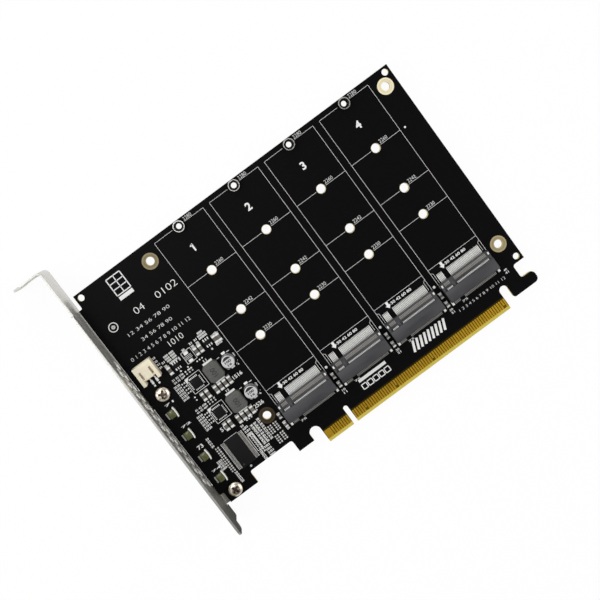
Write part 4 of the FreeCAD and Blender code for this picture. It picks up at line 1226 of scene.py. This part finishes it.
class CARD_OT_chip_parts(Operator):
    """Fire the chip capacitors and resistors, cap their ends and solder them down"""
    bl_idname = "card.chip_parts"
    bl_label = "Chip parts"

    def execute(self, context):
        reach = context.scene.card_parts.fillet_reach
        tones = {"power_capacitors_1": 0.8, "power_capacitors_2": 0.8, "upper_capacitors": 0.72,
                 "slot_capacitors": 0.85, "small_chips": 0.3, "fan_fuse": 0.1}
        tone_step, tone_range, end_share = 0.37, 0.24, 0.28
        bodies, ends, solder = [], [], []
        for node, tone in tones.items():
            for index, (low, high) in enumerate(solid_boxes(node)):
                drift = (index * tone_step % 1.0 - 0.5) * tone_range
                size, centre = high - low, (low + high) / 2
                upright = size.y > size.x
                length, width = (size.y, size.x) if upright else (size.x, size.y)
                along = Vector((0, 1, 0)) if upright else Vector((1, 0, 0))
                end = length * end_share
                turn = math.pi / 2 if upright else 0.0
                bodies.append(spot(centre.x, centre.y, 0.0, (length - 1.6 * end, width * 0.95, size.z * 0.96),
                                   turn, tone + drift))
                for side in (-1, 1):
                    cap = centre + along * side * (length - end) / 2
                    ends.append(spot(cap.x, cap.y, 0.0, (end, width, size.z), turn))
                    foot = centre + along * side * (length / 2 - 0.03 * MM)
                    solder.append(spot(foot.x, foot.y, 0.0, (reach, width * 1.1, size.z),
                                       turn + (math.pi if side < 0 else 0.0)))
        copies("chip_bodies", unit_block(0.05), bodies, "chip", "chip", list(tones))
        copies("chip_ends", unit_block(0.1), ends, "tin", "tin")
        copies("chip_solder", unit_fillet(), solder, "tin", "tin")
        return {"FINISHED"}


class CARD_OT_status_lights(Operator):
    """Cast the status lights' lenses and mould their reflectors"""
    bl_idname = "card.status_lights"
    bl_label = "Status lights"

    def execute(self, context):
        for number in (1, 2, 3, 4):
            softened_node("status_light_%d" % number, "cast_lens_%d" % number, 0.12 * MM, "lens")
        form = bmesh.new()
        for low, high in solid_boxes("status_light_housings"):
            self.add_reflector(form, low, high)
        reflectors = bmesh_object("reflector_bars", form)
        finish_piece(reflectors, "white", ["status_light_housings"])
        shown = 0.65
        places = [box_spot(low, Vector((low.x + shown * (high.x - low.x), high.y, high.z)))
                  for low, high in solid_boxes("status_light_terminals")]
        copies("light_terminals", unit_block(0.08), places, "dull_tin", "tin", ["status_light_terminals"])
        return {"FINISHED"}

    def add_reflector(self, form, low, high):
        """Thin bar that bows away from the lens and turns back to it at both ends."""
        short, thin, back = in_mm(0.2, 0.4, 0.3)
        half, steps = (high.y - low.y) / 2 - short, 12
        bow = (high.x - low.x - thin) * 0.4
        outer, inner = [], []
        for step in range(steps + 1):
            along = 2 * step / steps - 1
            out = high.x - back - bow * along * along
            outer.append((out, (low.y + high.y) / 2 + half * along))
            inner.append((out - thin, (low.y + high.y) / 2 + half * along))
        add_shape(form, outer + list(reversed(inner)), low.z, high.z - low.z)


# Softboxes round the card: (place, side, share of the softbox power), in metres
SOFTBOXES = (
    ((-0.75, 0.45, 0.8), 0.9, 1.0), ((0.8, -0.25, 0.85), 0.9, 0.8),
    ((-0.32, 0.36, 1.6), 0.55, 0.75), ((0.1, 1.0, 0.75), 0.7, 0.45),
)
LIT_POINT = Vector((0.015, 0.05, 0.0))
# Painted shade: a near-black card high above, seen only in reflections
HIGH_SHADE_CARD = ((-0.6, -0.75, 1.0), (0.05, -0.14, 1.002))
FLOOR_RADIUS, CURVE_RADIUS, WALL_TOP = 1.6, 0.5, 1.3    # white sweep, in metres


class CARD_OT_stage(Operator):
    """Set the white sweep, the softboxes, the room light and the camera"""
    bl_idname = "card.stage"
    bl_label = "Studio"

    def execute(self, context):
        studio = context.scene.card_studio
        self.build_sweep()
        self.build_reflected_shade_cards()
        for place, size, share in SOFTBOXES:
            lamp = bpy.data.lights.new("softbox", "AREA")
            lamp.shape, lamp.size, lamp.energy = "SQUARE", size, studio.key_power * share
            holder = bpy.data.objects.new("softbox", lamp)
            holder.location = place
            holder.rotation_euler = (LIT_POINT - Vector(place)).to_track_quat("-Z", "Y").to_euler()
            context.scene.collection.objects.link(holder)
        world = bpy.data.worlds.new("room")
        world.use_nodes = True
        world.node_tree.nodes.clear()
        room = add_node(world.node_tree, "ShaderNodeBackground", inputs={
            "Color": linear("#f6f6f6"), "Strength": studio.world_level})
        add_node(world.node_tree, "ShaderNodeOutputWorld", inputs={"Surface": room.outputs["Background"]})
        context.scene.world = world
        self.place_camera(context.scene, studio)
        context.scene.view_settings.view_transform = "Standard"
        return {"FINISHED"}

    def build_sweep(self):
        """Round white floor that curves up into a wall far behind the card on every side."""
        floor_z = CAD_BOX[0].z
        profile = [(0.0, 0.0), (0.5, 0.0), (FLOOR_RADIUS, 0.0)]
        for step in range(1, 10):
            angle = math.radians(10 * step)
            profile.append((FLOOR_RADIUS + CURVE_RADIUS * math.sin(angle),
                            CURVE_RADIUS * (1 - math.cos(angle))))
        profile.append((FLOOR_RADIUS + CURVE_RADIUS, WALL_TOP))
        form = bmesh.new()
        steps = 96
        rings = [add_ring(form, radius, floor_z + z, steps) for radius, z in profile]
        for lower, upper in zip(rings, rings[1:]):
            for step in range(steps):
                following = (step + 1) % steps
                corners = [lower[step % len(lower)], upper[step], upper[following],
                           lower[following % len(lower)]]
                form.faces.new(list(dict.fromkeys(corners)))
        sweep = bmesh_object("white_sweep", form)
        sweep.data.shade_smooth()
        sweep.data.materials.append(FINISH["paper"])

    def build_reflected_shade_cards(self):
        """Near-black cards that only reflections show, as painted shade in reflections: one under the
        bracket's lower end, one high above it.
        """
        low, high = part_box("bracket")
        bottom, top = (CAD_BOX[0].z + lift for lift in in_mm(0.05, 0.1))
        below_plate, beyond_tongue, under_board = in_mm(9.7, 60, 6)
        for name, flag_low, flag_high in (
                ("floor_flag", (high.x - below_plate, low.y - beyond_tongue, bottom),
                 (BOARD_HIGH.x, BOARD_LOW.y + under_board, top)),
                ("high_flag", *HIGH_SHADE_CARD)):
            form = bmesh.new()
            add_box(form, Vector(flag_low), Vector(flag_high))
            flag = bmesh_object(name, form)
            flag.data.materials.append(FINISH["reflected_shade"])
            flag.visible_camera = flag.visible_diffuse = flag.visible_shadow = False
            flag.visible_transmission = False

    def place_camera(self, scene, studio):
        """Stand the camera off the card, look at the target and roll it about the line of sight."""
        camera = bpy.data.cameras.new("camera")
        camera.lens, camera.sensor_width = studio.focal_length, 36.0
        camera.clip_start, camera.clip_end = 0.01, 10.0
        holder = bpy.data.objects.new("camera", camera)
        place, target = Vector(studio.camera_place), Vector(studio.camera_target)
        back = (place - target).normalized()
        right = Vector((0, 1, 0)).cross(back).normalized()
        level = Matrix((right, back.cross(right), back)).transposed()
        turned = level @ Matrix.Rotation(studio.camera_roll, 3, "Z")
        holder.matrix_world = Matrix.Translation(place) @ turned.to_4x4()
        scene.collection.objects.link(holder)
        scene.camera = holder


class CARD_PT_panel(Panel):
    """Lists the card's pieces and their sizes"""
    bl_idname = "CARD_PT_panel"
    bl_label = "Adapter card"
    bl_space_type = "VIEW_3D"
    bl_region_type = "UI"
    bl_category = "Adapter card"

    def draw(self, context):
        for settings in (context.scene.card_legend, context.scene.card_sockets, context.scene.card_parts,
                         context.scene.card_studio):
            box = self.layout.box()
            for name in settings.bl_rna.properties.keys():
                if name not in ("rna_type", "name"):
                    box.prop(settings, name)
        for operator in OPERATORS:
            self.layout.operator(operator.bl_idname)


OPERATORS = (
    CARD_OT_board, CARD_OT_edge_contacts, CARD_OT_legend, CARD_OT_sockets, CARD_OT_standoffs, CARD_OT_bracket,
    CARD_OT_screws, CARD_OT_fan_connector, CARD_OT_packages, CARD_OT_power_parts, CARD_OT_chip_parts,
    CARD_OT_status_lights, CARD_OT_stage,
)
SETTINGS = (
    ("card_legend", LegendSettings), ("card_sockets", SocketSettings), ("card_parts", PartSettings),
    ("card_studio", StudioSettings),
)


def register():
    for name, group in SETTINGS:
        bpy.utils.register_class(group)
        setattr(bpy.types.Scene, name, PointerProperty(type=group))
    for operator in OPERATORS:
        bpy.utils.register_class(operator)
    bpy.utils.register_class(CARD_PT_panel)


def unregister():
    bpy.utils.unregister_class(CARD_PT_panel)
    for operator in reversed(OPERATORS):
        bpy.utils.unregister_class(operator)
    for name, group in reversed(SETTINGS):
        delattr(bpy.types.Scene, name)
        bpy.utils.unregister_class(group)


def main():
    register()
    FINISH.update(make_materials(bpy.context.scene))
    TREES.update({"copies": copies_tree(), "row": row_tree()})
    for operator in OPERATORS:
        group, name = operator.bl_idname.split(".")
        getattr(getattr(bpy.ops, group), name)()


if __name__ == "__main__":
    main()
